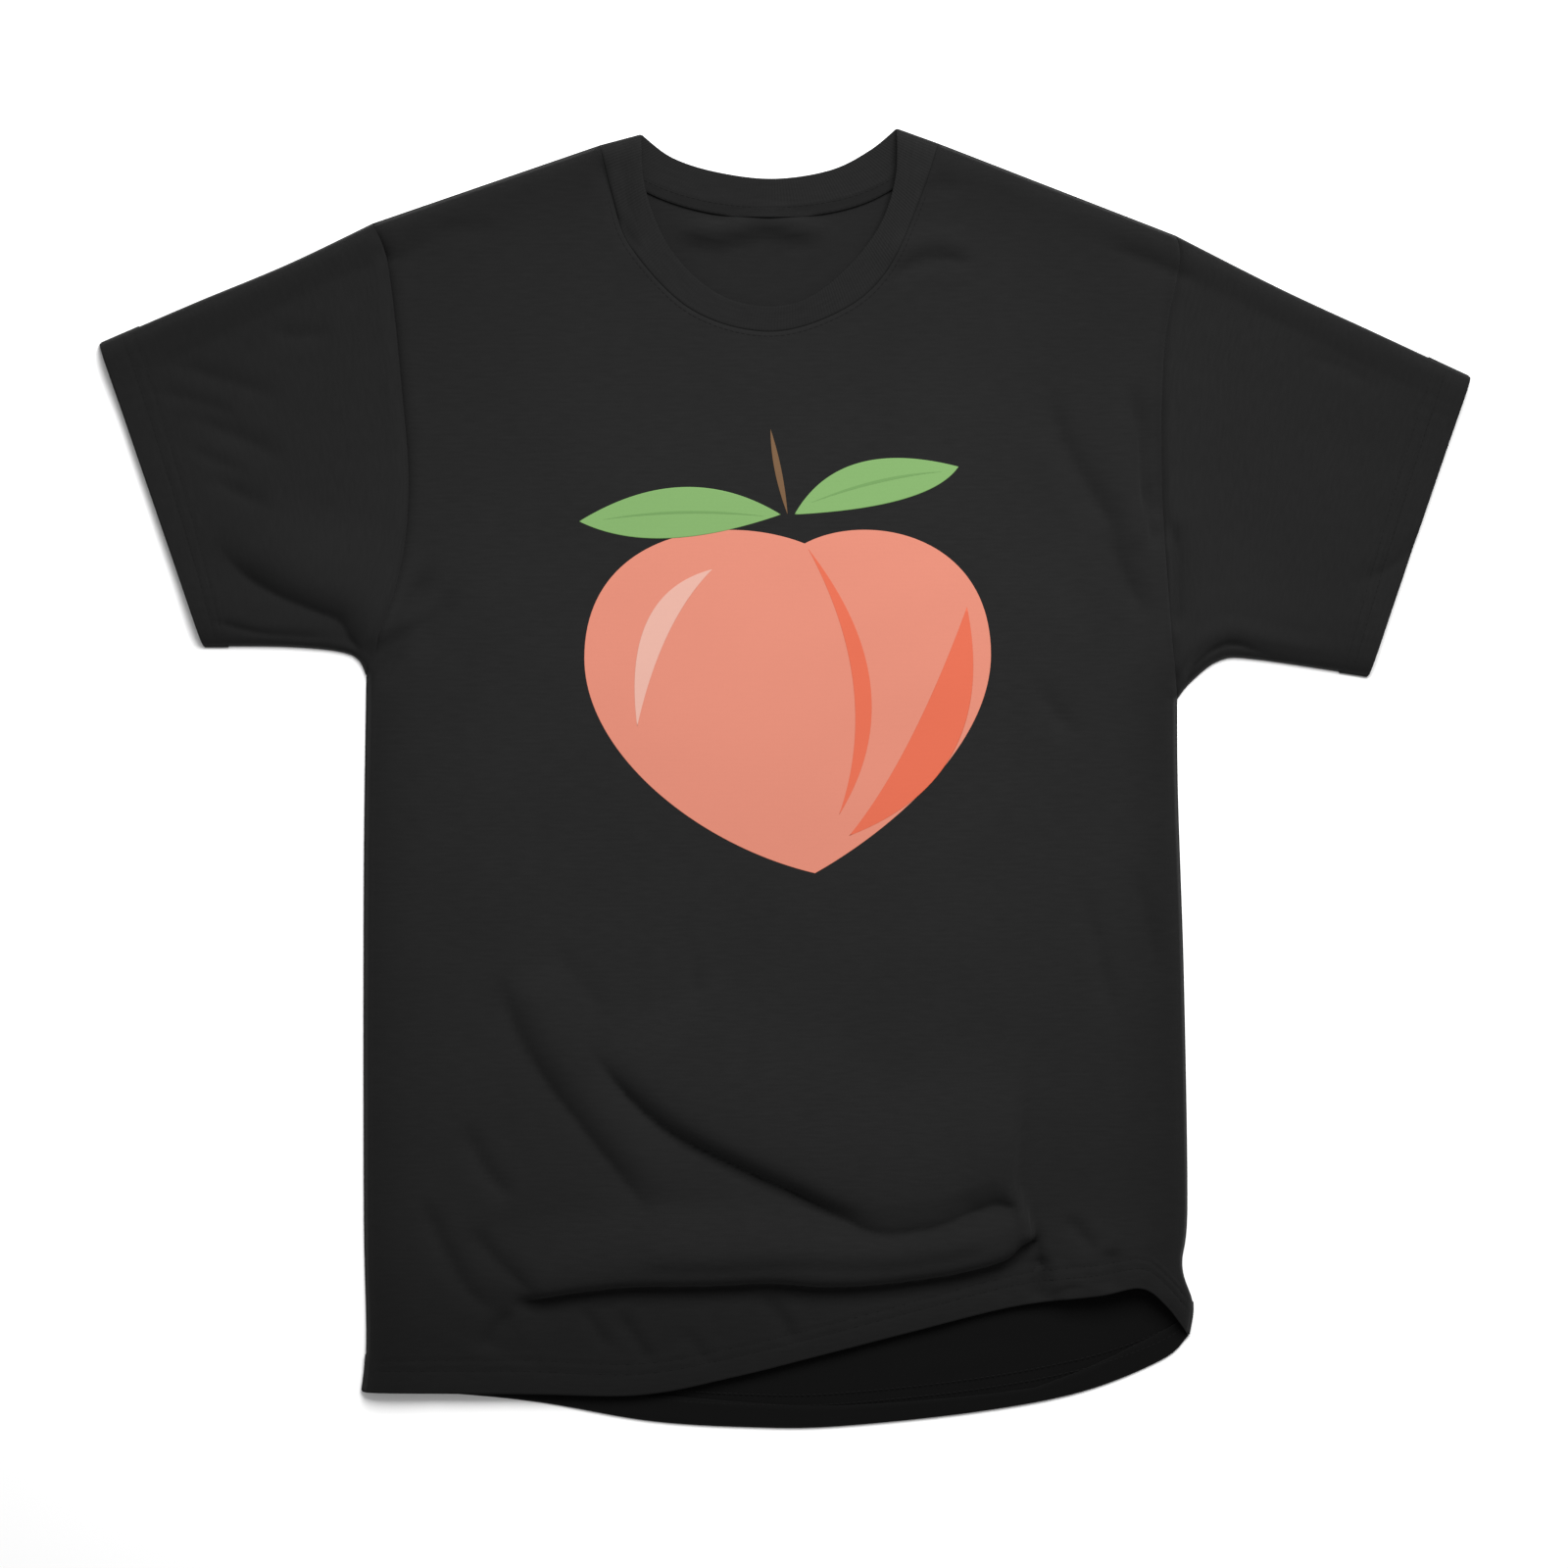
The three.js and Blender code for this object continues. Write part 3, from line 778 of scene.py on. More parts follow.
# ---- Mesh making ----------------------------------------------------------------------------
class Weaver:
    """Makes cloth from grids of cells whose corners are laid in place."""

    UV = "pattern"
    EDGE = "edge"
    WIDTH = 804.0  # of the pattern, from cuff to cuff
    SAME = 2e-6  # corners this close, in metres, are one
    scale = MM
    origin = np.zeros(3)

    @classmethod
    def fit(cls, low: Sequence[float], high: Sequence[float]) -> None:
        """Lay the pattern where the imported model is, between its lowest and highest corners."""
        cls.scale = (high[0] - low[0]) / cls.WIDTH
        cls.origin = np.array([(low[0] + high[0]) / 2, (low[1] + high[1]) / 2, low[2]])

    @classmethod
    def grid(
        cls,
        name: str,
        cells: tuple[int, int],
        lay: Lay,
        welded: bool = False,
        inside_out: bool = False,
    ) -> bpy.types.Object:
        """Make a piece from a grid of cells.

        Args:
            name: the piece's name.
            cells: number of cells across and along.
            lay: takes each corner's column and row, and returns its place in millimetres (x, y, z)
                and its place in the flat cloth (across, along).
            welded: join corners that come to lie in one place, as on a tube.
            inside_out: turn the faces round.

        Returns:
            The piece, linked to the scene.
        """
        bm = bmesh.new()
        bmesh.ops.create_grid(bm, x_segments=cells[0], y_segments=cells[1], size=0.5)
        bm.verts.ensure_lookup_table()
        flat = np.array([vert.co[:2] for vert in bm.verts]) + 0.5
        columns = np.rint(flat[:, 0] * cells[0]).astype(int)
        rows = np.rint(flat[:, 1] * cells[1]).astype(int)
        places, cloth = lay(columns, rows)
        for vert, place in zip(bm.verts, cls.origin + places * cls.scale):
            vert.co = place
        uv = bm.loops.layers.uv.new(cls.UV)
        cloth = cloth * MM
        for face in bm.faces:
            for loop in face.loops:
                loop[uv].uv = cloth[loop.vert.index]
        if welded:
            bmesh.ops.remove_doubles(bm, verts=bm.verts, dist=cls.SAME)
        if inside_out:
            bmesh.ops.reverse_faces(bm, faces=bm.faces)
        return cls.finish(name, bm)

    @staticmethod
    def finish(name: str, bm: bmesh.types.BMesh) -> bpy.types.Object:
        """Turn a bmesh into a smooth-shaded object.

        Args:
            name: the object's name.
            bm: the mesh, which is freed.

        Returns:
            The object, linked to the scene.
        """
        for face in bm.faces:
            face.smooth = True
        mesh = bpy.data.meshes.new(name)
        bm.to_mesh(mesh)
        bm.free()
        piece = bpy.data.objects.new(name, mesh)
        bpy.context.collection.objects.link(piece)
        return piece

    @staticmethod
    def thicken(piece: bpy.types.Object, thickness: float) -> None:
        """Give a piece of cloth its thickness, inwards from its outer face.

        Args:
            piece: the cloth.
            thickness: in millimetres.
        """
        solid = piece.modifiers.new("thickness", "SOLIDIFY")
        solid.thickness = thickness * MM
        solid.offset = -1.0
        solid.use_even_offset = False


def dress(piece: bpy.types.Object, material: bpy.types.Material, slot: str, *nodes: str) -> None:
    """Finish a piece: its material, the body it rides on and what it stands for.

    Args:
        piece: the piece.
        material: its finish.
        slot: the record's material slot that the finish belongs to; not used.
        nodes: the CAD nodes that the piece replaces.
    """
    piece.data.materials.append(material)
    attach(piece, "root")
    if nodes:
        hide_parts(*nodes)
    stands_for = ", ".join(nodes) or "nothing"
    LOG.info("%s: %d vertices, stands for %s", piece.name, len(piece.data.vertices), stands_for)


# ---- Finishes -------------------------------------------------------------------------------
class Nodes:
    """A node tree with short calls to add and link its nodes."""

    def __init__(self, tree: bpy.types.NodeTree) -> None:
        """Start with an emptied tree."""
        self.tree = tree
        tree.nodes.clear()

    @classmethod
    def material(cls, name: str) -> tuple[bpy.types.Material, "Nodes"]:
        """Make a material.

        Args:
            name: its name.

        Returns:
            The material and its emptied tree.
        """
        material = bpy.data.materials.new(name)
        material.use_nodes = True
        return material, cls(material.node_tree)

    def add(self, kind: str, **settings: object) -> bpy.types.Node:
        """Add a node.

        Args:
            kind: the node's type, without its ShaderNode prefix.
            settings: properties to set on it; an underscored name such as `in_Scale` or `in_0` sets
                an input's value or, given a socket, links it.

        Returns:
            The node.
        """
        prefix = "" if kind.startswith("NodeGroup") else "ShaderNode"
        node = self.tree.nodes.new(prefix + kind)
        for name, value in settings.items():
            if not name.startswith("in_"):
                setattr(node, name, value)
        for name, value in settings.items():
            if name.startswith("in_"):
                key = name[3:].replace("_", " ")
                socket = node.inputs[int(key)] if key.isdigit() else node.inputs[key]
                if isinstance(value, Socket):
                    self.tree.links.new(value, socket)
                else:
                    socket.default_value = value
        return node

    def maths(self, operation: str, *values: object) -> Socket:
        """Add a maths node on numbers or sockets and return its result."""
        settings = {f"in_{i}": value for i, value in enumerate(values)}
        return self.add("Math", operation=operation, **settings).outputs[0]

    def apart(self, value: Socket, middle: float) -> Socket:
        """Return how far a value is from a middle."""
        return self.maths("ABSOLUTE", self.maths("SUBTRACT", value, middle))

    def dome(self, distance: Socket, reach: float) -> Socket:
        """Return a round top's height, from 1 at its middle to 0 at its reach."""
        share = self.maths("MULTIPLY", distance, 1.0 / reach)
        return self.maths("SUBTRACT", 1.0, self.maths("POWER", share, 2.0))

    def about(self, value: Socket, scale: object) -> Socket:
        """Return a noise value as a swing either side of 0, scaled."""
        return self.maths("MULTIPLY", self.maths("SUBTRACT", value, 0.5), scale)

    def raised(self, base: float, value: Socket, by: float) -> Socket:
        """Return a base number and a value's share of it on top."""
        return self.maths("ADD", base, self.maths("MULTIPLY", value, by))

    def noise(self, where: Socket, scale: float, detail: float) -> Socket:
        """Return noise over places."""
        return self.add("TexNoise", in_Vector=where, in_Scale=scale, in_Detail=detail).outputs[0]

    def scaled(self, tint: Socket, share: Socket) -> Socket:
        """Return a colour times a share."""
        return self.add("VectorMath", operation="SCALE", in_0=tint, in_Scale=share).outputs[0]

    def mixed(self, share: Socket, one: object, other: object) -> Socket:
        """Return the mix of two colours, each a colour or a socket."""
        mix = self.add("Mix", data_type="RGBA", in_Factor=share, in_6=one, in_7=other)
        return mix.outputs[2]

    def finish(
        self,
        base: Socket,
        rough: Socket,
        bump: bpy.types.Node,
        specular: float,
    ) -> bpy.types.Node:
        """Add the shader and the output.

        Args:
            base: the surface's colour.
            rough: its roughness.
            bump: the node that gives its relief.
            specular: strength of its gloss.

        Returns:
            The shader.
        """
        normal = bump.outputs[0]
        shader = self.add(
            "BsdfPrincipled", in_Base_Color=base, in_Roughness=rough, in_Normal=normal
        )
        shader.inputs["Specular IOR Level"].default_value = specular
        self.add("OutputMaterial", in_Surface=shader.outputs[0])
        return shader


class SharedGroups:
    """Node groups that more than one finish uses, each built once."""

    @staticmethod
    def _new(
        name: str, inputs: dict[str, tuple[str, object]], outputs: Sequence[str]
    ) -> bpy.types.NodeTree:
        """Make an empty group.

        Args:
            name: the group's name.
            inputs: each input's type and value, if it has one, by name.
            outputs: names of its number outputs.

        Returns:
            The group.
        """
        tree = bpy.data.node_groups.new(name, "ShaderNodeTree")
        for label, (kind, value) in inputs.items():
            socket_type = f"NodeSocket{kind}"
            socket = tree.interface.new_socket(label, in_out="INPUT", socket_type=socket_type)
            if value is not None:
                socket.default_value = value
        for label in outputs:
            tree.interface.new_socket(label, in_out="OUTPUT", socket_type="NodeSocketFloat")
        return tree

    @classmethod
    def knit(cls) -> bpy.types.NodeTree:
        """Build the group that draws knitted loops, once.

        Returns:
            The group. It puts out the loops' height, and the gaps between them.
        """
        name = "knitted loops"
        if name in bpy.data.node_groups:
            return bpy.data.node_groups[name]
        inputs = {"Vector": ("Vector", None), "Wale": ("Float", 0.9), "Course": ("Float", 0.7)}
        tree = cls._new(name, inputs, ["Height", "Gap"])
        nodes = Nodes(tree)
        given = tree.nodes.new("NodeGroupInput")
        split = nodes.add("SeparateXYZ", in_0=given.outputs["Vector"])
        column, row = (
            nodes.maths("DIVIDE", nodes.maths("MULTIPLY", place, 1.0 / MM), given.outputs[pitch])
            for place, pitch in zip(split.outputs[:2], ("Wale", "Course"))
        )
        across = nodes.apart(nodes.maths("FRACT", column), 0.5)
        slant = nodes.maths("ADD", row, nodes.maths("MULTIPLY", across, 1.5))
        leg = nodes.dome(nodes.apart(nodes.maths("FRACT", slant), 0.5), 0.5)
        tube = nodes.dome(nodes.apart(across, 0.25), 0.25)
        height = nodes.maths("MULTIPLY", leg, tube)
        gap = nodes.maths("SUBTRACT", 1.0, nodes.maths("SQRT", nodes.maths("MAXIMUM", height, 0.0)))
        out = tree.nodes.new("NodeGroupOutput")
        tree.links.new(height, out.inputs["Height"])
        tree.links.new(gap, out.inputs["Gap"])
        return tree

    @classmethod
    def place_knit(
        cls, nodes: Nodes, where: Socket, wale: float, course: float
    ) -> bpy.types.Node:
        """Return the knitted loops, placed in a material by a loop's sizes in millimetres."""
        tree = cls.knit()
        return nodes.add("Group", node_tree=tree, in_Vector=where, in_Wale=wale, in_Course=course)

    @classmethod
    def yarn(cls) -> bpy.types.NodeTree:
        """Build the group that draws uneven yarn, once.

        Returns:
            The group. It puts out a tone, with streaks along the courses and soft patches,
            and lint.
        """
        streaks, patches, fluff = (90.0, 620.0, 1.0), 14.0, 900.0  # of each, to a metre
        name = "uneven yarn"
        if name in bpy.data.node_groups:
            return bpy.data.node_groups[name]
        inputs = {"Vector": ("Vector", None), "Streaks": ("Float", 1.0)}
        tree = cls._new(name, inputs, ["Tone", "Lint"])
        nodes = Nodes(tree)
        given = tree.nodes.new("NodeGroupInput")
        where = given.outputs["Vector"]
        stretched = nodes.add("Mapping", in_Vector=where, in_Scale=streaks).outputs[0]
        streak = nodes.about(nodes.noise(stretched, 1.0, 3.0), given.outputs["Streaks"])
        patch = nodes.about(nodes.noise(where, patches, 2.0), 0.5)
        lint = nodes.noise(where, fluff, 2.0)
        tone = nodes.maths("ADD", 0.5, nodes.maths("ADD", streak, patch))
        out = tree.nodes.new("NodeGroupOutput")
        tree.links.new(tone, out.inputs["Tone"])
        tree.links.new(lint, out.inputs["Lint"])
        return tree


def linear(level: float) -> float:
    """Return the linear value of a display level of 0 to 255, as sRGB has it."""
    share = level / 255
    return ((share + 0.055) / 1.055) ** 2.4 if share > 0.04045 else share / 12.92


def colour(red: float, green: float, blue: float) -> Colour:
    """Return a linear colour from display levels of 0 to 255."""
    return (linear(red), linear(green), linear(blue), 1.0)


def grey(level: float) -> Colour:
    """Return a neutral colour from a display level of 0 to 255."""
    return colour(level, level, level)


def dimmed(tint: Colour, share: float) -> Colour:
    """Return a colour times a share."""
    return (*(part * share for part in tint[:3]), 1.0)


@dataclass(frozen=True)
class KnitFinish:
    """Dyed cotton knit.

    Attributes:
        name: the material's name.
        dark: the colour in the yarn's darker stretches.
        light: the colour in its lighter ones.
        wale: width of a column of loops, in millimetres.
        course: height of a row of loops.
        relief: how far the loops stand up, in millimetres.
        sheen: strength of the fuzz at grazing angles.
        painted_hem_shade: share of its colour that the painted shade leaves at the hem.
        painted_light_and_shade: whether painted light and painted shade go into its colour.
    """

    name: str
    dark: Colour
    light: Colour
    wale: float = 0.95
    course: float = 0.75
    relief: float = 0.16
    sheen: float = 0.03
    painted_hem_shade: float = 1.0
    painted_light_and_shade: bool = True

    GAP_SHARE = 0.3  # of a gap that is darkened with painted shade
    GAP_PAINTED_SHADE = 0.45  # share of the colour that a gap keeps under its painted shade
    FUZZ = 0.35  # height of lint, in heights of a loop
    ROUGH, ROUGHER = 0.86, 0.1  # of a loop, and how much more a gap is
    BUMP, GLOSS, FUZZ_ROUGH = 0.55, 0.12, 0.55
    MIDDLE = (0.015, 0.0, 0.0)  # of the shirt, in metres, where the painted light is brightest
    # of each painted passage of light and shade: its start and end, in metres, and the colour's
    # shares there
    PAINTED_LIGHT_AND_SHADE_FROM_MIDDLE = ((0.1, 0.45), (1.14, 0.76))
    PAINTED_SHADE_FROM_HEM = ((-0.34, -0.25), (0.72, 1.0))
    PAINTED_SHADE_FROM_EDGE = ((-0.015, 0.045), (0.7, 1.0))
    PAINTED_SHADE_AT_EDGE = ((0.0, 0.006), (0.4, 1.0))
    DOWN_INSIDE = (0.22, 0.02)  # from the chest down, inside, over which the painted shade comes in

    def build(self) -> bpy.types.Material:
        """Mix the finish.

        Returns:
            The material.
        """
        material, nodes = Nodes.material(self.name)
        where = nodes.add("UVMap", uv_map=Weaver.UV).outputs[0]
        knit = SharedGroups.place_knit(nodes, where, self.wale, self.course)
        yarn = nodes.add("Group", node_tree=SharedGroups.yarn(), in_Vector=where)
        tone = nodes.mixed(yarn.outputs["Tone"], self.dark, self.light)
        # painted shade in the gaps between the loops
        gap = nodes.maths("MULTIPLY", knit.outputs["Gap"], self.GAP_SHARE)
        base = nodes.mixed(gap, tone, dimmed(self.dark, self.GAP_PAINTED_SHADE))
        # painted light round the middle, painted shade towards the hem and the edges
        if self.painted_light_and_shade:
            base = self._with_painted_light_and_shade(nodes, base)
        # painted shade that darkens the inside towards the hem
        if self.painted_hem_shade < 1.0:
            base = self._with_painted_hem_shade(nodes, base)
        rough = nodes.raised(self.ROUGH, knit.outputs["Gap"], self.ROUGHER)
        fuzz = nodes.maths("MULTIPLY", yarn.outputs["Lint"], self.FUZZ)
        height = nodes.maths("ADD", knit.outputs["Height"], fuzz)
        relief = self.relief * MM
        bump = nodes.add("Bump", in_Height=height, in_Distance=relief, in_Strength=self.BUMP)
        shader = nodes.finish(base, rough, bump, self.GLOSS)
        shader.inputs["Sheen Weight"].default_value = self.sheen
        shader.inputs["Sheen Roughness"].default_value = self.FUZZ_ROUGH
        return material

    @staticmethod
    def _eased(
        nodes: Nodes, value: Socket, span: Place, share: Place, kind: str = "SMOOTHSTEP"
    ) -> Socket:
        """Pass from one share to another as a value crosses a span.

        Args:
            nodes: the material's nodes.
            value: the value.
            span: where the passage starts and ends.
            share: the shares there.
            kind: how it passes.

        Returns:
            The share.
        """
        eased = nodes.add("MapRange", interpolation_type=kind, in_Value=value)
        for index, number in enumerate((*span, *share), start=1):
            eased.inputs[index].default_value = number
        return eased.outputs[0]

    @classmethod
    def _with_painted_light_and_shade(cls, nodes: Nodes, base: Socket) -> Socket:
        """Paint light round the shirt's middle, and shade towards its hem and outside edges.

        Args:
            nodes: the material's nodes.
            base: the colour.

        Returns:
            The colour with painted light and shade.
        """
        place = nodes.add("TexCoord").outputs["Object"]
        middle = nodes.add("VectorMath", operation="DISTANCE", in_0=place, in_1=cls.MIDDLE)
        along = nodes.add("SeparateXYZ", in_0=place).outputs[1]
        measured = nodes.add("UVMap", uv_map=Weaver.EDGE).outputs[0]
        edge = nodes.add("SeparateXYZ", in_0=measured).outputs[0]
        # painted light and shade by distance from the middle, height along the shirt and distance
        # from a closed edge
        shares = (
            cls._eased(nodes, middle.outputs["Value"], *cls.PAINTED_LIGHT_AND_SHADE_FROM_MIDDLE),
            cls._eased(nodes, along, *cls.PAINTED_SHADE_FROM_HEM),
            cls._eased(nodes, edge, *cls.PAINTED_SHADE_FROM_EDGE),
            cls._eased(nodes, edge, *cls.PAINTED_SHADE_AT_EDGE),
        )
        share = shares[0]
        for other in shares[1:]:
            share = nodes.maths("MULTIPLY", share, other)
        return nodes.scaled(base, share)

    def _with_painted_hem_shade(self, nodes: Nodes, base: Socket) -> Socket:
        """Darken the colour from the chest down towards the hem with painted shade.

        Args:
            nodes: the material's nodes.
            base: the colour.

        Returns:
            The colour with painted shade.
        """
        place = nodes.add("TexCoord").outputs["Object"]
        along = nodes.add("SeparateXYZ", in_0=place).outputs[1]
        share = self._eased(nodes, along, self.DOWN_INSIDE, (1.0, self.painted_hem_shade), "LINEAR")
        return nodes.scaled(base, share)


@dataclass(frozen=True)
class InkFinish:
    """A soft printed film with the knit showing through it.

    Attributes:
        name: the material's name.
        tint: the ink's colour.
    """

    name: str
    tint: Colour

    THIN = 0.22  # how much the cloth shows through it over the gaps between loops
    MOTTLED = 0.1  # how much it varies with the yarn
    SHADE = 0.55  # share of its colour that it keeps where it is thin
    STREAKS = 0.6
    RELIEF = 0.08  # in millimetres
    ROUGH, ROUGHER = 0.58, 0.12  # of the film, and how much more lint is
    BUMP, GLOSS = 0.5, 0.2

    def build(self) -> bpy.types.Material:
        """Mix the finish.

        Returns:
            The material.
        """
        material, nodes = Nodes.material(self.name)
        where = nodes.add("UVMap", uv_map=Weaver.UV).outputs[0]
        knit = SharedGroups.place_knit(nodes, where, KnitFinish.wale, KnitFinish.course)
        tree = SharedGroups.yarn()
        yarn = nodes.add("Group", node_tree=tree, in_Vector=where, in_Streaks=self.STREAKS)
        thin = nodes.maths("MULTIPLY", nodes.maths("POWER", knit.outputs["Gap"], 3.0), self.THIN)
        mottled = nodes.maths("MULTIPLY", yarn.outputs["Tone"], self.MOTTLED)
        tone = nodes.maths("ADD", thin, mottled)
        base = nodes.mixed(tone, self.tint, dimmed(self.tint, self.SHADE))
        rough = nodes.raised(self.ROUGH, yarn.outputs["Lint"], self.ROUGHER)
        height, relief = knit.outputs["Height"], self.RELIEF * MM
        bump = nodes.add("Bump", in_Height=height, in_Distance=relief, in_Strength=self.BUMP)
        nodes.finish(base, rough, bump, self.GLOSS)
        return material


@dataclass(frozen=True)
class ThreadFinish:
    """Spun sewing thread.

    Attributes:
        name: the material's name.
        tint: the thread's colour.
    """

    name: str
    tint: Colour

    RELIEF = 0.05  # in millimetres
    BRIGHT = 1.5  # of its fibres' colour to its own
    ROUGH, ROUGHER = 0.75, 0.2  # of the yarn, and how much more lint is
    BUMP, GLOSS = 0.6, 0.1

    def build(self) -> bpy.types.Material:
        """Mix the finish.

        Returns:
            The material.
        """
        material, nodes = Nodes.material(self.name)
        place = nodes.add("TexCoord").outputs["Object"]
        yarn = nodes.add("Group", node_tree=SharedGroups.yarn(), in_Vector=place)
        lint, relief = yarn.outputs["Lint"], self.RELIEF * MM
        base = nodes.mixed(lint, self.tint, dimmed(self.tint, self.BRIGHT))
        bump = nodes.add("Bump", in_Height=lint, in_Distance=relief, in_Strength=self.BUMP)
        rough = nodes.raised(self.ROUGH, lint, self.ROUGHER)
        nodes.finish(base, rough, bump, self.GLOSS)
        return material


# ---- Sewn panels ----------------------------------------------------------------------------
def spread(bands: Sequence[tuple[float, float]], coarse: float) -> Points:
    """Return distances from 0 with a pitch that changes by band.

    Args:
        bands: each band's end and its pitch, in millimetres.
        coarse: factor on every pitch.

    Returns:
        The distances, from 0 to the last band's end.
    """
    stops, start = [np.zeros(1)], 0.0
    for end, pitch in bands:
        count = max(1, round((end - start) / (pitch * coarse)))
        stops.append(np.linspace(start, end, count + 1)[1:])
        start = end
    return np.concatenate(stops)


@dataclass
class Panel:
    """The front or the back of the body.

    Attributes:
        pattern: the garment's outlines.
        lie: how its cloth lies.
        front: true for the front.
        coarse: factor on the width of its cells.
        hem: depth of its turned-up hem.
        shoulder_share: share of its top that is one shoulder.
        side_share: share of its side that is below the armhole.
        height: its usual height.
        width: its usual width.
    """

    pattern: Pattern
    lie: Lie
    front: bool
    coarse: float = 1.0
    hem: float = HEM
    shoulder_share: float = 0.17
    side_share: float = 0.61
    height: float = 687.0
    width: float = 483.0

    REACH = 0.4  # share of the width over which a side's curve is felt
    SEWN = 0.03  # share of the side over which the cloth inside an armhole comes in
    PARTED = 0.9  # most of the room between the layers that turned cloth takes
    PITCH = 2.75  # width of its cells
    # where each band of rows ends, from the hem, and the rows' pitch in it
    BANDS = ((26.0, 1.3), (130.0, 2.3), (230.0, 3.0), (600.0, 3.9), (687.0, 2.9))
    TURNED = (1.0, 0.75, 0.5, 0.25, 0.09, 0.03)  # rows of the turned-up cloth, in depths of the hem
    HANG = (ALLOWANCE, 0.5 * ALLOWANCE, 0.7)  # rows of the cloth inside a seam, from its cut edge
    # the back's hem is turned up less where the front leaves it in sight: shares across the panel,
    # and shares of the hem's depth
    BACK_HEM = ((0.0, 0.4, 0.6, 0.8, 0.93, 1.0), (1.0, 0.76, 0.56, 0.42, 0.9, 1.0))

    def __post_init__(self) -> None:
        """Lay out the panel's four edges."""
        right, left = self.pattern.right, self.pattern.left
        self.bottom = self.pattern.hem(self.front)
        self.neck = self.pattern.neck_seam(self.front)
        self.shoulders = (Curve([right.shoulder, right.neck]), Curve([left.neck, left.shoulder]))

    def _top(self, u: Points) -> Points:
        """Find places along the shoulders and the neck.

        Args:
            u: shares across the panel.

        Returns:
            The places.
        """
        share = self.shoulder_share
        outer = self.shoulders[0].at(u / share)
        inner = self.neck.at((u - share) / (1 - 2 * share))
        other = self.shoulders[1].at((u - 1 + share) / share)
        inner = np.where((u > 1 - share)[:, None], other, inner)
        return np.where((u < share)[:, None], outer, inner)

    def _edge(self, side: Side, v: Points) -> Points:
        """Find places along a side seam and armhole.

        Args:
            side: the side.
            v: shares along the panel.

        Returns:
            The places.
        """
        seam = self.pattern.side_seam(side).at(1 - v / self.side_share)
        armhole = self.pattern.armhole(side).at((v - self.side_share) / (1 - self.side_share))
        return np.where((v < self.side_share)[:, None], seam, armhole)

    def plan(self, u: Points, v: Points) -> Points:
        """Find places in plan.

        Args:
            u: shares across the panel.
            v: shares along it, from the hem.

        Returns:
            The places.
        """
        right, left = (
            ((1 - np.clip(share / self.REACH, 0.0, 1.0)) ** 2)[:, None] for share in (u, 1 - u)
        )
        ends = np.array([0.0, 1.0])
        low, high = self.bottom.at(ends), self._top(ends)
        b = v[:, None]
        place = right * self._edge(Side.RIGHT, v) + left * self._edge(Side.LEFT, v)
        place += (1 - b) * self.bottom.at(u) + b * self._top(u)
        place -= (1 - b) * (right * low[0] + left * low[1])
        return place - b * (right * high[0] + left * high[1])

    def _stations(self) -> tuple[Points, Points, Points, Points]:
        """Space the panel's cells.

        Returns:
            Shares across per column and along per row, then what hangs inside a seam for each.
        """
        across = spread([(self.width, self.PITCH)], self.coarse) / self.width
        along = spread(self.BANDS, self.coarse) / self.height
        hang = np.array(self.HANG)
        u = np.concatenate([np.zeros(len(hang)), across, np.ones(len(hang))])
        tuck_u = np.concatenate([hang, np.zeros(len(across)), hang[::-1]])
        turned = -np.array(self.TURNED) * self.hem
        v = np.concatenate([turned, along, np.ones(len(hang))])
        tuck_v = np.concatenate([np.zeros(len(turned) + len(along)), hang[::-1] * self.front])
        return u, v, tuck_u, tuck_v

    def _hem_depth(self, u: Points) -> Points:
        """Measure the turned-up hem.

        Args:
            u: shares across the panel.

        Returns:
            The share of its full depth that it has there.
        """
        if self.front:
            return np.ones(u.shape)
        return np.interp(u, *self.BACK_HEM)

    def _stitched(self, u: Points, far: Points) -> Points:
        """Return the relief of the hem at shares across and distances from its edge."""
        return Lie.stitched(far, u * self.width) * smooth(0.0, 0.03, np.minimum(u, 1 - u))

    def lay(self, column: Points, row: Points) -> tuple[Points, Points]:
        """Lay the corners of the panel's cells.

        Args:
            column: each corner's column.
            row: its row.

        Returns:
            The corners' places, and their places in the flat cloth.
        """
        us, vs, tuck_u, tuck_v = self._stations()
        u, v = us[column], vs[row]
        doubled = self.lie.doubled(np.clip(-v, 0.0, None))
        turned = np.clip(-v, 0.0, None) * self._hem_depth(u)
        v = np.clip(v, 0.0, 1.0)
        plan = self.plan(u, np.where(turned > 0, turned / self.height, v))
        x, y = plan[:, 0], plan[:, 1]
        upper, lower = self.lie.upper(x, y), self.lie.lower(x, y)
        place, inwards = (upper, -1.0) if self.front else (lower, 1.0)
        between = 0.5 * (upper[:, 2] + lower[:, 2])
        if self.front:
            place[:, 2] += self._stitched(u, v * self.height) * (turned == 0)
        at_armhole = smooth(self.side_share, self.side_share + self.SEWN, v)
        at_neck = smooth(self.shoulder_share, self.shoulder_share + 0.02, np.minimum(u, 1 - u))
        hang = np.maximum(tuck_u[column] * at_armhole, tuck_v[row] * at_neck)
        room = np.abs(between - place[:, 2])
        place[:, 2] += inwards * np.minimum(hang + doubled, self.PARTED * room)
        return place, np.stack([x, y - 2.0 * turned], axis=-1)

    def build(self, name: str) -> bpy.types.Object:
        """Make the panel.

        Args:
            name: the piece's name.

        Returns:
            The piece of cloth, with its hem turned up.
        """
        us, vs, _, _ = self._stations()
        cells = (len(us) - 1, len(vs) - 1)
        piece = Weaver.grid(name, cells, self.lay, welded=True, inside_out=not self.front)
        self.lie.measure(piece)
        Weaver.thicken(piece, CLOTH)
        return piece

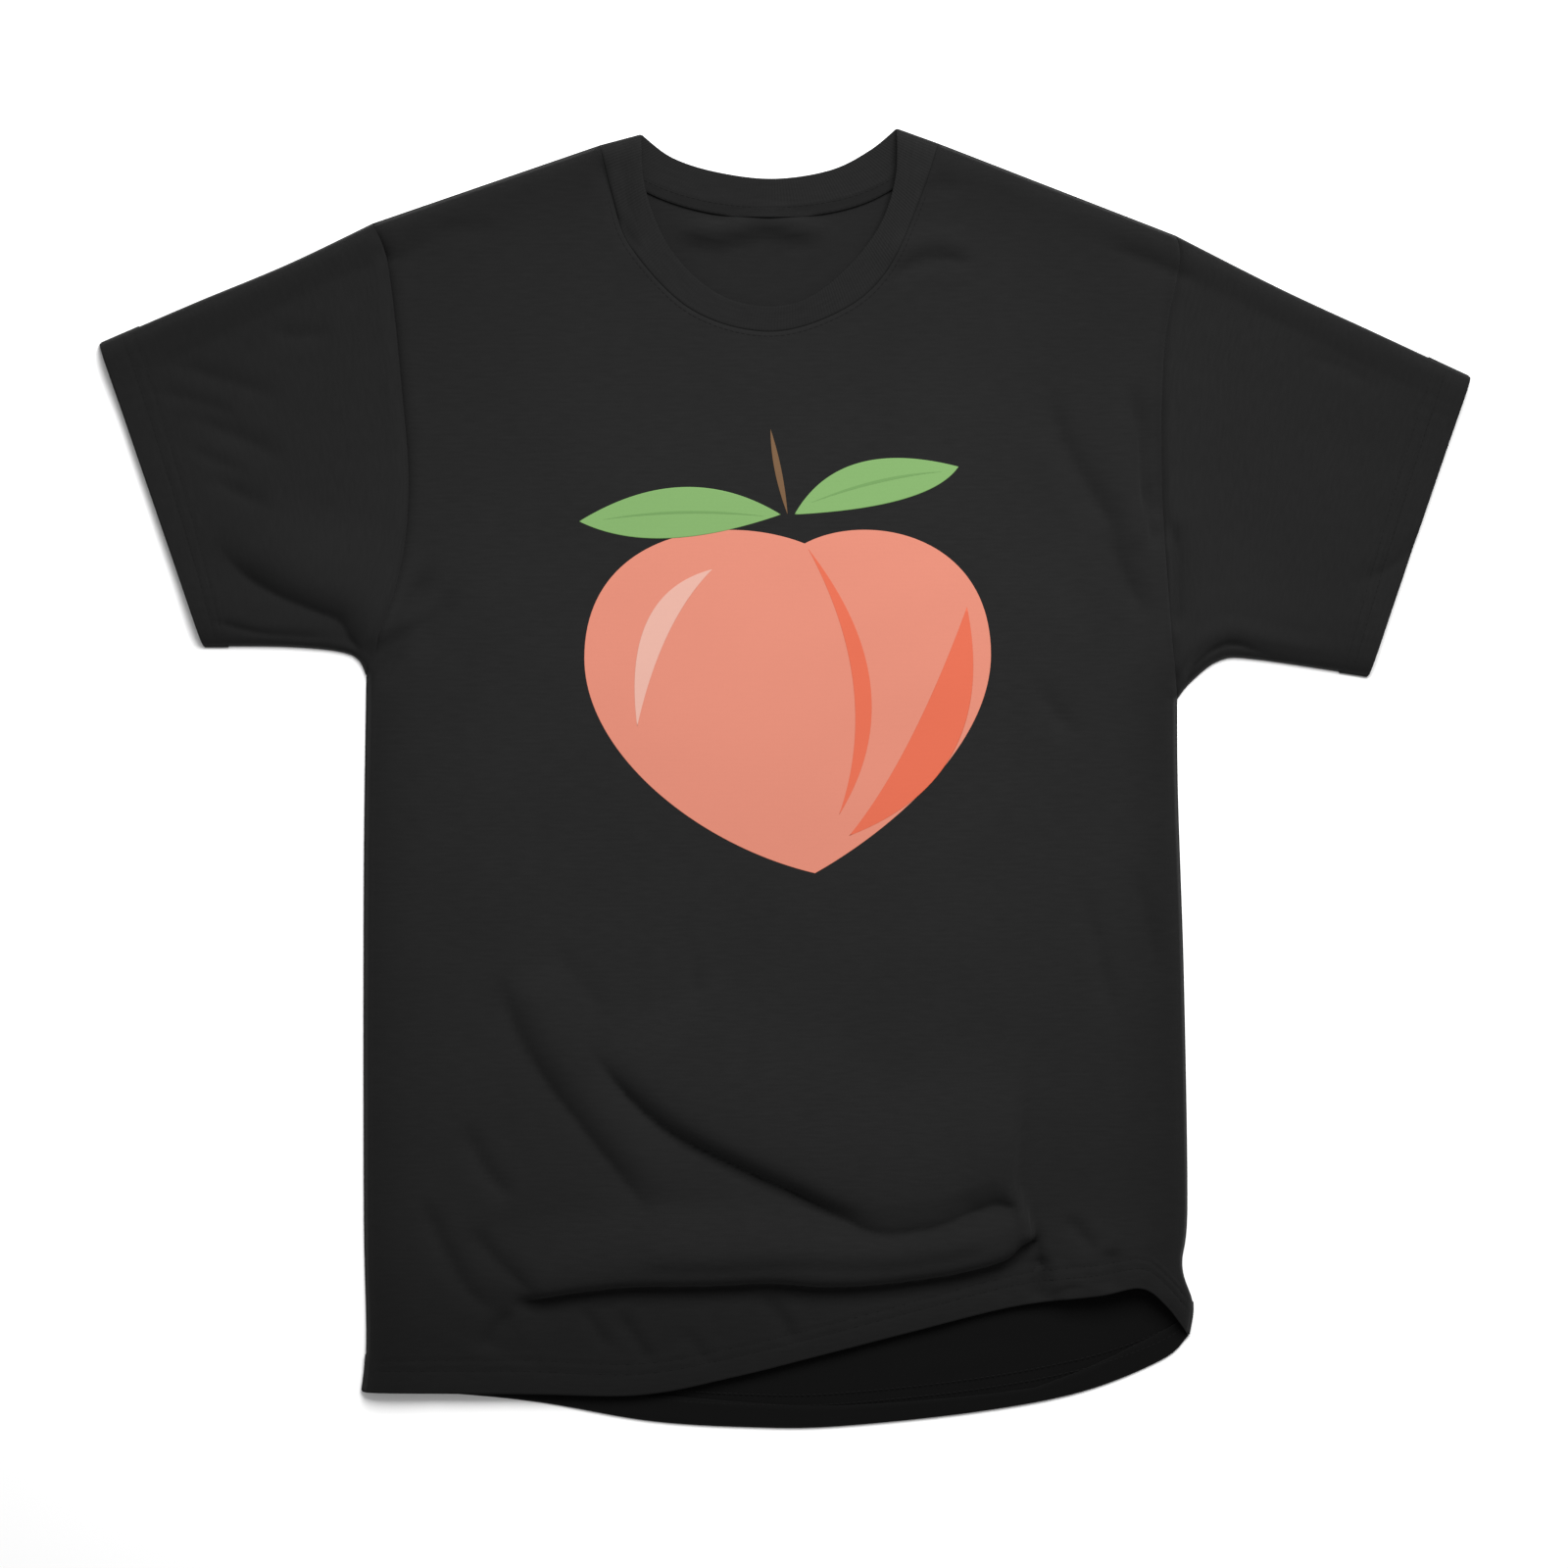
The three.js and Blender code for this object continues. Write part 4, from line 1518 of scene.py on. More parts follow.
    def hem_row(self, from_hem: float) -> Line:
        """Draw a line across the panel.

        Args:
            from_hem: how far it is from the hem.

        Returns:
            The line: it takes shares across and gives places.
        """

        def line(share: Points) -> Points:
            """Find places on the visible face.

            Args:
                share: shares across.

            Returns:
                The places.
            """
            from_seam = 0.02  # share of the width
            across = from_seam + (1 - 2 * from_seam) * share
            plan = self.plan(across, np.full(share.shape, from_hem / self.height))
            x, y = plan[:, 0], plan[:, 1]
            if self.front:
                place = self.lie.upper(x, y)
                place[:, 2] += self._stitched(share, np.full(share.shape, from_hem))
                return place
            place = self.lie.lower(x, y)
            place[:, 2] += DOUBLED
            return place

        return line


@dataclass
class Sleeve:
    """A short sleeve: a tube of cloth lying flat, with its cuff hem turned in.

    Attributes:
        pattern: the garment's outlines.
        lie: how its cloth lies.
        side: which sleeve it is.
        pitch: width of its cells.
    """

    pattern: Pattern
    lie: Lie
    side: Side
    pitch: float = 2.6

    TURNED = (0.6, 2.0, 6.0, 11.0, 16.0, HEM)  # rows of the turned-in cloth, from the cuff's edge
    CROWDED = 0.45  # how much closer the columns are at the folds, from 0 to 1
    PARTED = 0.45  # most of the room between the layers that one layer's turned cloth takes

    def __post_init__(self) -> None:
        """Lay out the sleeve's four edges."""
        half = self.pattern.half(self.side)
        self.armhole = self.pattern.armhole(self.side)
        self.cuff = Curve([half.cuff_bottom, half.cuff_top])
        self.under = self.pattern.under_sleeve(self.side)
        self.over = self.pattern.over_sleeve(self.side)

    @property
    def length(self) -> float:
        """Length of the sleeve along its middle."""
        middle = np.array([0.5])
        return float(np.linalg.norm(self.cuff.at(middle) - self.armhole.at(middle)))

    def plan(self, up: Points, out: Points) -> Points:
        """Find places in plan.

        Args:
            up: shares up the sleeve's width.
            out: shares out along its length.

        Returns:
            The places.
        """
        ends = np.array([0.0, 1.0])
        inner, outer = self.armhole.at(ends), self.cuff.at(ends)
        a, b = up[:, None], out[:, None]
        place = (1 - b) * self.armhole.at(up) + b * self.cuff.at(up)
        place += (1 - a) * self.under.at(out) + a * self.over.at(out)
        place -= (1 - a) * ((1 - b) * inner[0] + b * outer[0])
        return place - a * ((1 - b) * inner[1] + b * outer[1])

    def _stations(self) -> tuple[Points, Points, Points]:
        """Space the sleeve's cells.

        Returns:
            The share up per column; the share out and how far it is turned in per row, or less
            than 0 for what hangs inside the armhole.
        """
        wider = 1.25  # the armhole over the cuff
        even = np.linspace(0, 1, round(self.cuff.length * wider / self.pitch) + 1)
        rise = self.CROWDED * (0.5 - 0.5 * np.cos(np.pi * even)) + (1 - self.CROWDED) * even
        up = np.concatenate([rise, rise[-2::-1]])
        along = 1.0 - spread([(26.0, 1.3), (self.length, self.pitch)], 1.0)[::-1] / self.length
        hang = -np.array(Panel.HANG)
        out = np.concatenate([np.zeros(len(hang)), along, np.ones(len(self.TURNED))])
        return up, out, np.concatenate([hang, np.zeros(len(along)), self.TURNED])

    def lay(self, column: Points, row: Points) -> tuple[Points, Points]:
        """Lay the corners of the sleeve's cells.

        Args:
            column: each corner's column.
            row: its row.

        Returns:
            The corners' places, and their places in the flat cloth.
        """
        ups, outs, turns = self._stations()
        top = column < len(ups) // 2 + 1
        up, out, turn = ups[column], outs[row], turns[row]
        turned = np.clip(turn, 0.0, None)
        share = out - turned / self.length
        plan = self.plan(up, share)
        x, y = plan[:, 0], plan[:, 1]
        upper, lower = self.lie.upper(x, y), self.lie.lower(x, y)
        place = np.where(top[:, None], upper, lower)
        place[:, 2] += self._stitched(up, (1 - share) * self.length) * (top & (turn <= 0))
        room = self.PARTED * (upper[:, 2] - lower[:, 2])
        inwards = np.where(top, -1.0, 1.0)
        inside = self.lie.doubled(turned) + np.clip(-turn, 0.0, None)
        place[:, 2] += inwards * np.minimum(inside, room)
        around = np.where(top, up, 2.0 - up) * self.armhole.length
        return place, np.stack([around, share * self.length + 2 * turned], axis=-1)

    def _stitched(self, up: Points, far: Points) -> Points:
        """Return the relief of the cuff at shares up it and distances from its edge."""
        return Lie.stitched(far, up * self.cuff.length) * smooth(0.0, 0.08, np.minimum(up, 1 - up))

    def build(self, name: str) -> bpy.types.Object:
        """Make the sleeve.

        Args:
            name: the piece's name.

        Returns:
            The tube of cloth.
        """
        ups, outs, _ = self._stations()
        cells = (len(ups) - 1, len(outs) - 1)
        piece = Weaver.grid(name, cells, self.lay, welded=True, inside_out=self.side is Side.LEFT)
        self.lie.measure(piece)
        Weaver.thicken(piece, CLOTH)
        return piece

    def cuff_row(self, from_cuff: float, top: bool) -> Line:
        """Draw a line round the sleeve.

        Args:
            from_cuff: how far it is from the cuff's edge.
            top: whether it is on top or underneath.

        Returns:
            The line: it takes shares up the sleeve and gives places.
        """

        def line(share: Points) -> Points:
            """Find places on the outer face.

            Args:
                share: shares up the sleeve.

            Returns:
                The places.
            """
            from_fold = 0.01  # share of the width
            up = from_fold + (1 - 2 * from_fold) * share
            plan = self.plan(up, np.full(share.shape, 1 - from_cuff / self.length))
            layer = self.lie.upper if top else self.lie.lower
            place = layer(plan[:, 0], plan[:, 1])
            if top:
                place[:, 2] += self._stitched(up, np.full(share.shape, from_cuff))
            return place

        return line


@dataclass
class Collar:
    """The neck's band of 1x1 rib, folded double at its free edge.

    Attributes:
        pattern: the garment's outlines.
        lie: how its cloth lies.
        rib: width of a rib and its furrow.
        thickness: through both layers of the band.
        relief: how far a rib stands up.
        proud: how far the band stands above the cloth that it is sewn to.
    """

    pattern: Pattern
    lie: Lie
    rib: float = 1.75
    thickness: float = 1.7
    relief: float = 0.17
    proud: float = 0.45

    COLUMNS_PER_RIB = 4
    # across the band, from its seam to its free edge and back: share of the way, how far inside,
    # and how far it has turned at the edge
    SECTION = (
        *((0.0, 2.4, 0.0), (0.0, 0.9, 0.0), (0.015, 0.2, 0.0)),
        *((share, 0.0, 0.0) for share in (0.08, 0.2, 0.35, 0.5, 0.65, 0.8, 0.93)),
        *((0.95, 0.0, turn) for turn in (0.7, 1.57, 2.44)),
        *((share, 0.0, 3.14) for share in (0.93, 0.8, 0.6, 0.4, 0.2, 0.0)),
        (0.0, 2.4, 0.0),
    )
    FLOOR = 0.02  # least height over the table
    PAST_EDGE = 1.6  # a row that has turned further is on the inner layer
    FLAT_GAP = 20.0  # from one layer to the other in the flat band

    def _stations(self) -> tuple[Points, Points, Points]:
        """Space the band's columns.

        Returns:
            Each column's half, its share along that half, and its distance round the band.
        """
        halves, shares, starts = [], [], []
        start = 0.0
        for index, front in enumerate((True, False)):
            seam, edge = self.pattern.neck_seam(front), self.pattern.collar_edge(front)
            length = 0.5 * (seam.length + edge.length)
            count = self.COLUMNS_PER_RIB * round(length / self.rib)
            even = np.arange(count) / count
            halves.append(np.full(count, index))
            shares.append(even if front else 1.0 - even)
            starts.append(start + even * length)
            start += length
        return (
            np.append(np.concatenate(halves), 0),
            np.append(np.concatenate(shares), 0.0),
            np.append(np.concatenate(starts), start),
        )

    def lay(self, column: Points, row: Points) -> tuple[Points, Points]:
        """Lay the corners of the band's cells.

        Args:
            column: each corner's column.
            row: its row.

        Returns:
            The corners' places, and their places in the flat band.
        """
        halves, shares, around = self._stations()
        section = np.array(self.SECTION)
        front, share = halves[column] == 0, shares[column]
        neck, free = self.pattern.neck_seam, self.pattern.collar_edge
        across, tuck, turn = section[row].T
        seam = np.where(front[:, None], neck(True).at(share), neck(False).at(share))
        edge = np.where(front[:, None], free(True).at(share), free(False).at(share))
        span = edge - seam
        width = np.linalg.norm(span, axis=1)
        plan = seam + span * across[:, None]
        x, y = plan[:, 0], plan[:, 1]
        upper, lower = self.lie.upper(x, y)[:, 2], self.lie.lower(x, y)[:, 2]
        between = 0.5 * (upper + lower)
        upper = upper + self.proud * smooth(0.0, 4.0, upper - between)
        outer = np.where(front, upper, lower)
        inwards = np.where(front, -1.0, 1.0)
        thick = np.minimum(self.thickness, 0.9 * np.abs(between - outer))
        ribs = np.arange(len(halves)) / self.COLUMNS_PER_RIB
        rib = self.relief * np.cos(2 * np.pi * ribs)[column]
        rib = rib * smooth(0.0, 0.1, across) * smooth(0.1, 1.2, thick)
        tuck = np.minimum(tuck, 0.8 * thick)
        depth = 0.5 * thick * (1 - np.cos(turn)) - rib * np.cos(turn) + tuck
        z = np.maximum(outer + inwards * depth, self.FLOOR)
        bulge = 0.5 * thick * np.sin(turn) / np.maximum(width, 1e-3)
        plan = plan + span * bulge[:, None]
        place = np.stack([plan[:, 0], plan[:, 1], z], axis=-1)
        inner = self.FLAT_GAP * (turn > self.PAST_EDGE)
        return place, np.stack([around[column], across * width + inner], axis=-1)

    def build(self, name: str) -> bpy.types.Object:
        """Return the band as a closed ring."""
        halves, _, _ = self._stations()
        return Weaver.grid(name, (len(halves) - 1, len(self.SECTION) - 1), self.lay, welded=True)


@dataclass
class NeckTape:
    """The strip of cloth that covers the back neck seam inside.

    Attributes:
        pattern: the garment's outlines.
        lie: how its cloth lies.
        width: of the strip.
        over: top of the strip over the lower layer's outer face.
        reach: share of the seam that it leaves free at each end.
        thickness: of the strip.
        stations: number of cells along it.
    """

    pattern: Pattern
    lie: Lie
    width: float = 7.5
    over: float = 2.5
    reach: float = 0.08
    thickness: float = 0.35
    stations: int = 110

    # across the strip: share of its width, and how far its edge is turned under
    HALF = ((0.2, 0.05), (0.42, 0.0), (0.5, 0.25), (0.5, 0.7))
    SECTION = (*((-across, under) for across, under in HALF[::-1]), (0.0, 0.1), *HALF)

    def _along(self, share: Points) -> Points:
        """Return places on the seam at shares along the strip."""
        return self.pattern.neck_seam(False).at(self.reach + (1 - 2 * self.reach) * share)

    def line(self, across: float) -> Line:
        """Draw a line along the strip.

        Args:
            across: share of its width from its middle.

        Returns:
            The line: it takes shares along and gives places.
        """

        def places(share: Points) -> Points:
            """Find places on the strip's face.

            Args:
                share: shares along it.

            Returns:
                The places.
            """
            at = self._along(share)
            place = self.lie.lower(at[:, 0], at[:, 1] + across * self.width)
            place[:, 2] += self.over
            return place

        return places

    def build(self, name: str) -> bpy.types.Object:
        """Make the strip.

        Args:
            name: the piece's name.

        Returns:
            The strip.
        """

        def lay(column: Points, row: Points) -> tuple[Points, Points]:
            """Lay the corners of the strip's cells.

            Args:
                column: each corner's column.
                row: its row.

            Returns:
                The corners' places, and their places in the flat strip.
            """
            across, under = np.array(self.SECTION)[row].T
            at = self._along(column / self.stations)
            place = self.lie.lower(at[:, 0], at[:, 1] + across * self.width)
            place[:, 2] += self.over - under
            return place, np.stack([at[:, 0], across * self.width], axis=-1)

        piece = Weaver.grid(name, (self.stations, len(self.SECTION) - 1), lay)
        Weaver.thicken(piece, self.thickness)
        return piece


@dataclass(frozen=True)
class Stitching:
    """Rows of stitches in sewing thread.

    Attributes:
        length: of a stitch.
        gap: between two stitches.
        width: of the thread as it is pressed into the cloth.
        height: of the thread there.
    """

    length: float = 2.5
    gap: float = 0.8
    width: float = 0.5
    height: float = 0.36

    SAMPLES = 60  # places at which a row's length is measured
    FIRST = 0.12  # of a stitch's share of the row, before the first stitch
    FLOOR = 0.02  # least height over the table

    def build(self, name: str, lines: Sequence[Line]) -> bpy.types.Object:
        """Sew rows of stitches.

        Args:
            name: the piece's name.
            lines: each row's line over the cloth, by share of its length.

        Returns:
            The rows as one piece.
        """
        bm = bmesh.new()
        for line in lines:
            rough = line(np.linspace(0.0, 1.0, self.SAMPLES))
            total = float(np.linalg.norm(np.diff(rough, axis=0), axis=1).sum())
            count = int(total / (self.length + self.gap))
            starts = (np.arange(count) + self.FIRST) / count
            ends = starts + self.length / (self.length + self.gap) / count
            for start, end in zip(line(starts), line(ends)):
                self._stitch(bm, Vector(start), Vector(end))
        return Weaver.finish(name, bm)

    def _stitch(self, bm: bmesh.types.BMesh, start: Vector, end: Vector) -> None:
        """Add one stitch.

        Args:
            bm: the mesh that it joins.
            start: where it starts, in millimetres.
            end: where it ends.
        """
        ahead = (end - start).normalized()
        aside = ahead.cross(Vector((0.0, 0.0, 1.0))).normalized()
        above = aside.cross(ahead)
        turn = Matrix((aside, above, ahead)).transposed().to_4x4()
        middle = (start + end) / 2
        middle.z = max(middle.z, self.height / 2 + self.FLOOR)
        size = Matrix.Diagonal((self.width / 2, self.height / 2, (end - start).length / 2, 1.0))
        metres = Matrix.Translation(Weaver.origin) @ Matrix.Scale(Weaver.scale, 4)
        matrix = metres @ Matrix.Translation(middle) @ turn @ size
        bmesh.ops.create_uvsphere(bm, u_segments=6, v_segments=5, radius=1.0, matrix=matrix)


# ---- The print ------------------------------------------------------------------------------
def bezier(knots: Sequence[Place], t: Points) -> Points:
    """Find places along a cubic curve.

    Args:
        knots: its start, its two handles and its end.
        t: parameters, 0 to 1.

    Returns:
        The places.
    """
    p = np.array(knots, float)
    t = t[:, None]
    s = 1 - t
    return s**3 * p[0] + 3 * s**2 * t * p[1] + 3 * s * t**2 * p[2] + t**3 * p[3]


@dataclass
class Print:
    """A plain peach with two leaves, printed on the front.

    Attributes:
        lie: how the front lies.
        x: middle of the fruit.
        half_width: of the fruit.
        top: a little over the fruit's cheeks.
        tip: the fruit's lowest place.
        film: thickness of the print.
    """

    lie: Lie
    x: float
    half_width: float
    top: float
    tip: float
    film: float = 0.07

    CHEEKS = 5.24  # from the highest place of the fruit's cheeks up to the top of its handles
    MIDDLE = (6.0, 62.0)  # of the fruit, from the print's middle line
    FRUIT_CELLS = (176, 27)  # round the fruit and in towards its middle
    SICKLE_CELLS = (60, 9)
    FIRST = 0.16  # how far the lowest film's face is over the cloth
    NEXT = 0.09  # and how far each film's face is over the one below

    @classmethod
    def over(cls, lie: Lie, node: str) -> "Print":
        """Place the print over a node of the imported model.

        Args:
            lie: how the front lies.
            node: the fruit's node.

        Returns:
            The print.
        """
        low, high = (np.array(corner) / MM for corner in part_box(node))
        middle, half = (low[0] + high[0]) / 2, (high[0] - low[0]) / 2
        return cls(lie, middle, half, high[1] + cls.CHEEKS, low[1])

    def _drape(self, places: Points, layer: int) -> tuple[Points, Points]:
        """Lay a film on the cloth.

        Args:
            places: its corners, from the print's middle line.
            layer: number of films below.

        Returns:
            The corners' places, and their places in the flat cloth.
        """
        x, y = places[:, 0] + self.x, places[:, 1]
        place = self.lie.upper(x, y)
        place[:, 2] += self.FIRST + self.NEXT * layer
        return place, np.stack([x, y], axis=-1)

    def _fruit_edge(self, share: Points) -> Points:
        """Draw the fruit's outline.

        Args:
            share: shares of the way round, clockwise from the notch at its top.

        Returns:
            Places on it, from the print's middle line.
        """
        wide, top, tip = self.half_width, self.top, self.tip
        runs = (
            ((10, top - 13), (45, top + 6), (wide, top - 6), (wide, top - 78)),
            ((wide, top - 78), (wide, tip + 76), (62, tip + 26), (16, tip)),
            ((16, tip), (-52, tip + 16), (-wide, tip + 70), (-wide, top - 80)),
            ((-wide, top - 80), (-wide, top - 6), (-38, top + 6), (10, top - 13)),
        )
        at = np.zeros((len(share), 2))
        for index, run in enumerate(runs):
            here = (share * 4 >= index) & (share * 4 <= index + 1)
            at[here] = bezier(run, share[here] * 4 - index)
        return at

    def fruit(self) -> bpy.types.Object:
        """Make the fruit's film, laid in rings round its middle.

        Returns:
            The film.
        """
        columns, count = self.FRUIT_CELLS
        rings, middle = np.append(0.0, np.linspace(0.003, 1.0, count)), np.array(self.MIDDLE)

        def lay(column: Points, row: Points) -> tuple[Points, Points]:
            """Lay the corners of the film's cells, anticlockwise."""
            edge = self._fruit_edge(1.0 - column / columns)
            return self._drape(edge + (middle - edge) * rings[row][:, None], 0)

        piece = Weaver.grid("peach", (columns, len(rings) - 1), lay, welded=True)
        Weaver.thicken(piece, self.film)
        return piece

    def sickle(self, name: str, knots: Sequence[Place], layer: int) -> bpy.types.Object:
        """Make a film between two curves that share their ends.

        Args:
            name: the piece's name.
            knots: the start, the pulls of the first and of the second curve, and the end; each pull
                bends both ends of its curve.
            layer: number of films below.

        Returns:
            The film.
        """
        start, outer, inner, end = knots
        columns, count = self.SICKLE_CELLS
        across = np.concatenate([[0.0], np.linspace(0.02, 0.98, count - 1), [1.0]])

        def lay(column: Points, row: Points) -> tuple[Points, Points]:
            """Lay the corners of the film's cells.

            Args:
                column: each corner's column.
                row: its row.

            Returns:
                The corners' places, and their places in the flat cloth.
            """
            t = column / columns
            one, other = (self._bowed(start, pull, end, t) for pull in (outer, inner))
            return self._drape(one + (other - one) * across[row][:, None], layer)

        piece = Weaver.grid(name, (columns, len(across) - 1), lay, welded=True)
        bm = bmesh.new()
        bm.from_mesh(piece.data)
        bm.normal_update()
        if sum(face.normal.z for face in bm.faces) < 0:
            bmesh.ops.reverse_faces(bm, faces=bm.faces)
        bm.to_mesh(piece.data)
        bm.free()
        Weaver.thicken(piece, self.film)
        return piece

    @staticmethod
    def _bowed(start: Place, pull: Place, end: Place, t: Points) -> Points:
        """Find places on a curve that a pull bends.

        Args:
            start: where it starts.
            pull: its handle.
            end: where it ends.
            t: parameters, 0 to 1.

        Returns:
            The places.
        """
        p = np.array([start, pull, end], float)
        t = t[:, None]
        return (1 - t) ** 2 * p[0] + 2 * (1 - t) * t * p[1] + t**2 * p[2]


# ---- Studio ---------------------------------------------------------------------------------
@dataclass(frozen=True)
class Studio:
    """A pale floor, soft light and a camera that looks straight down.

    Attributes:
        view: width of floor in the picture, in metres.
        centre: the place that the camera looks at.
        height: of the camera over the floor.
        key: power of the softbox, in watts.
        key_size: width of the softbox.
        key_place: where it hangs.
        fill: strength of the light from all round.
    """

    view: float
    centre: tuple[float, float]
    height: float = 3.0
    key: float = 49.0
    key_size: float = 1.1
    key_place: tuple[float, float, float] = (0.3, 1.0, 1.45)
    fill: float = 0.42

    VIEW = 1.1443  # width of the view, in widths of the garment
    ASIDE = (-0.0006, -0.0037)  # from the garment's middle to the view's, in metres
    FLOOR = 6.0  # half the floor's width
    PALE = (0.93, 0.93, 0.93, 1.0)
    SENSOR = 36.0
    FAR = 20.0  # as far as the camera sees

    @classmethod
    def over(cls, low: Sequence[float], high: Sequence[float]) -> "Studio":
        """Set a studio up with its camera over an object.

        Args:
            low: the object's lowest corner.
            high: its highest.

        Returns:
            The studio.
        """
        middle = tuple((a + b) / 2 + aside for a, b, aside in zip(low, high, cls.ASIDE))
        return cls(cls.VIEW * (high[0] - low[0]), middle)

    def floor(self) -> None:
        """Lay the floor."""
        bm = bmesh.new()
        bmesh.ops.create_grid(bm, x_segments=1, y_segments=1, size=self.FLOOR)
        floor = Weaver.finish("floor", bm)
        material, nodes = Nodes.material("pale floor")
        shader = nodes.add("BsdfPrincipled", in_Base_Color=self.PALE, in_Roughness=0.95)
        nodes.add("OutputMaterial", in_Surface=shader.outputs[0])
        floor.data.materials.append(material)
        floor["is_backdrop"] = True

    def softbox(self) -> None:
        """Hang the main lamp, a softbox that faces the garment from beyond its left shoulder."""
        light = bpy.data.lights.new("softbox", "AREA")
        light.size, light.energy = self.key_size, self.key
        lamp = bpy.data.objects.new("softbox", light)
        lamp.location = self.key_place
        lamp.rotation_mode = "QUATERNION"
        lamp.rotation_quaternion = Vector(self.key_place).to_track_quat("Z", "Y")
        bpy.context.collection.objects.link(lamp)

    def build(self) -> None:
        """Set up the studio."""
        self.floor()
        self.softbox()
        world = bpy.data.worlds.new("studio")
        world.use_nodes = True
        background = world.node_tree.nodes["Background"]
        background.inputs["Color"].default_value = (1.0, 1.0, 1.0, 1.0)
        background.inputs["Strength"].default_value = self.fill
        bpy.context.scene.world = world
        bpy.context.scene.view_settings.view_transform = "Standard"
        camera = bpy.data.cameras.new("camera")
        camera.sensor_width = self.SENSOR
        camera.lens = camera.sensor_width * self.height / self.view
        camera.clip_end = self.FAR
        holder = bpy.data.objects.new("camera", camera)
        holder.location = (*self.centre, self.height)
        bpy.context.collection.objects.link(holder)
        bpy.context.scene.camera = holder


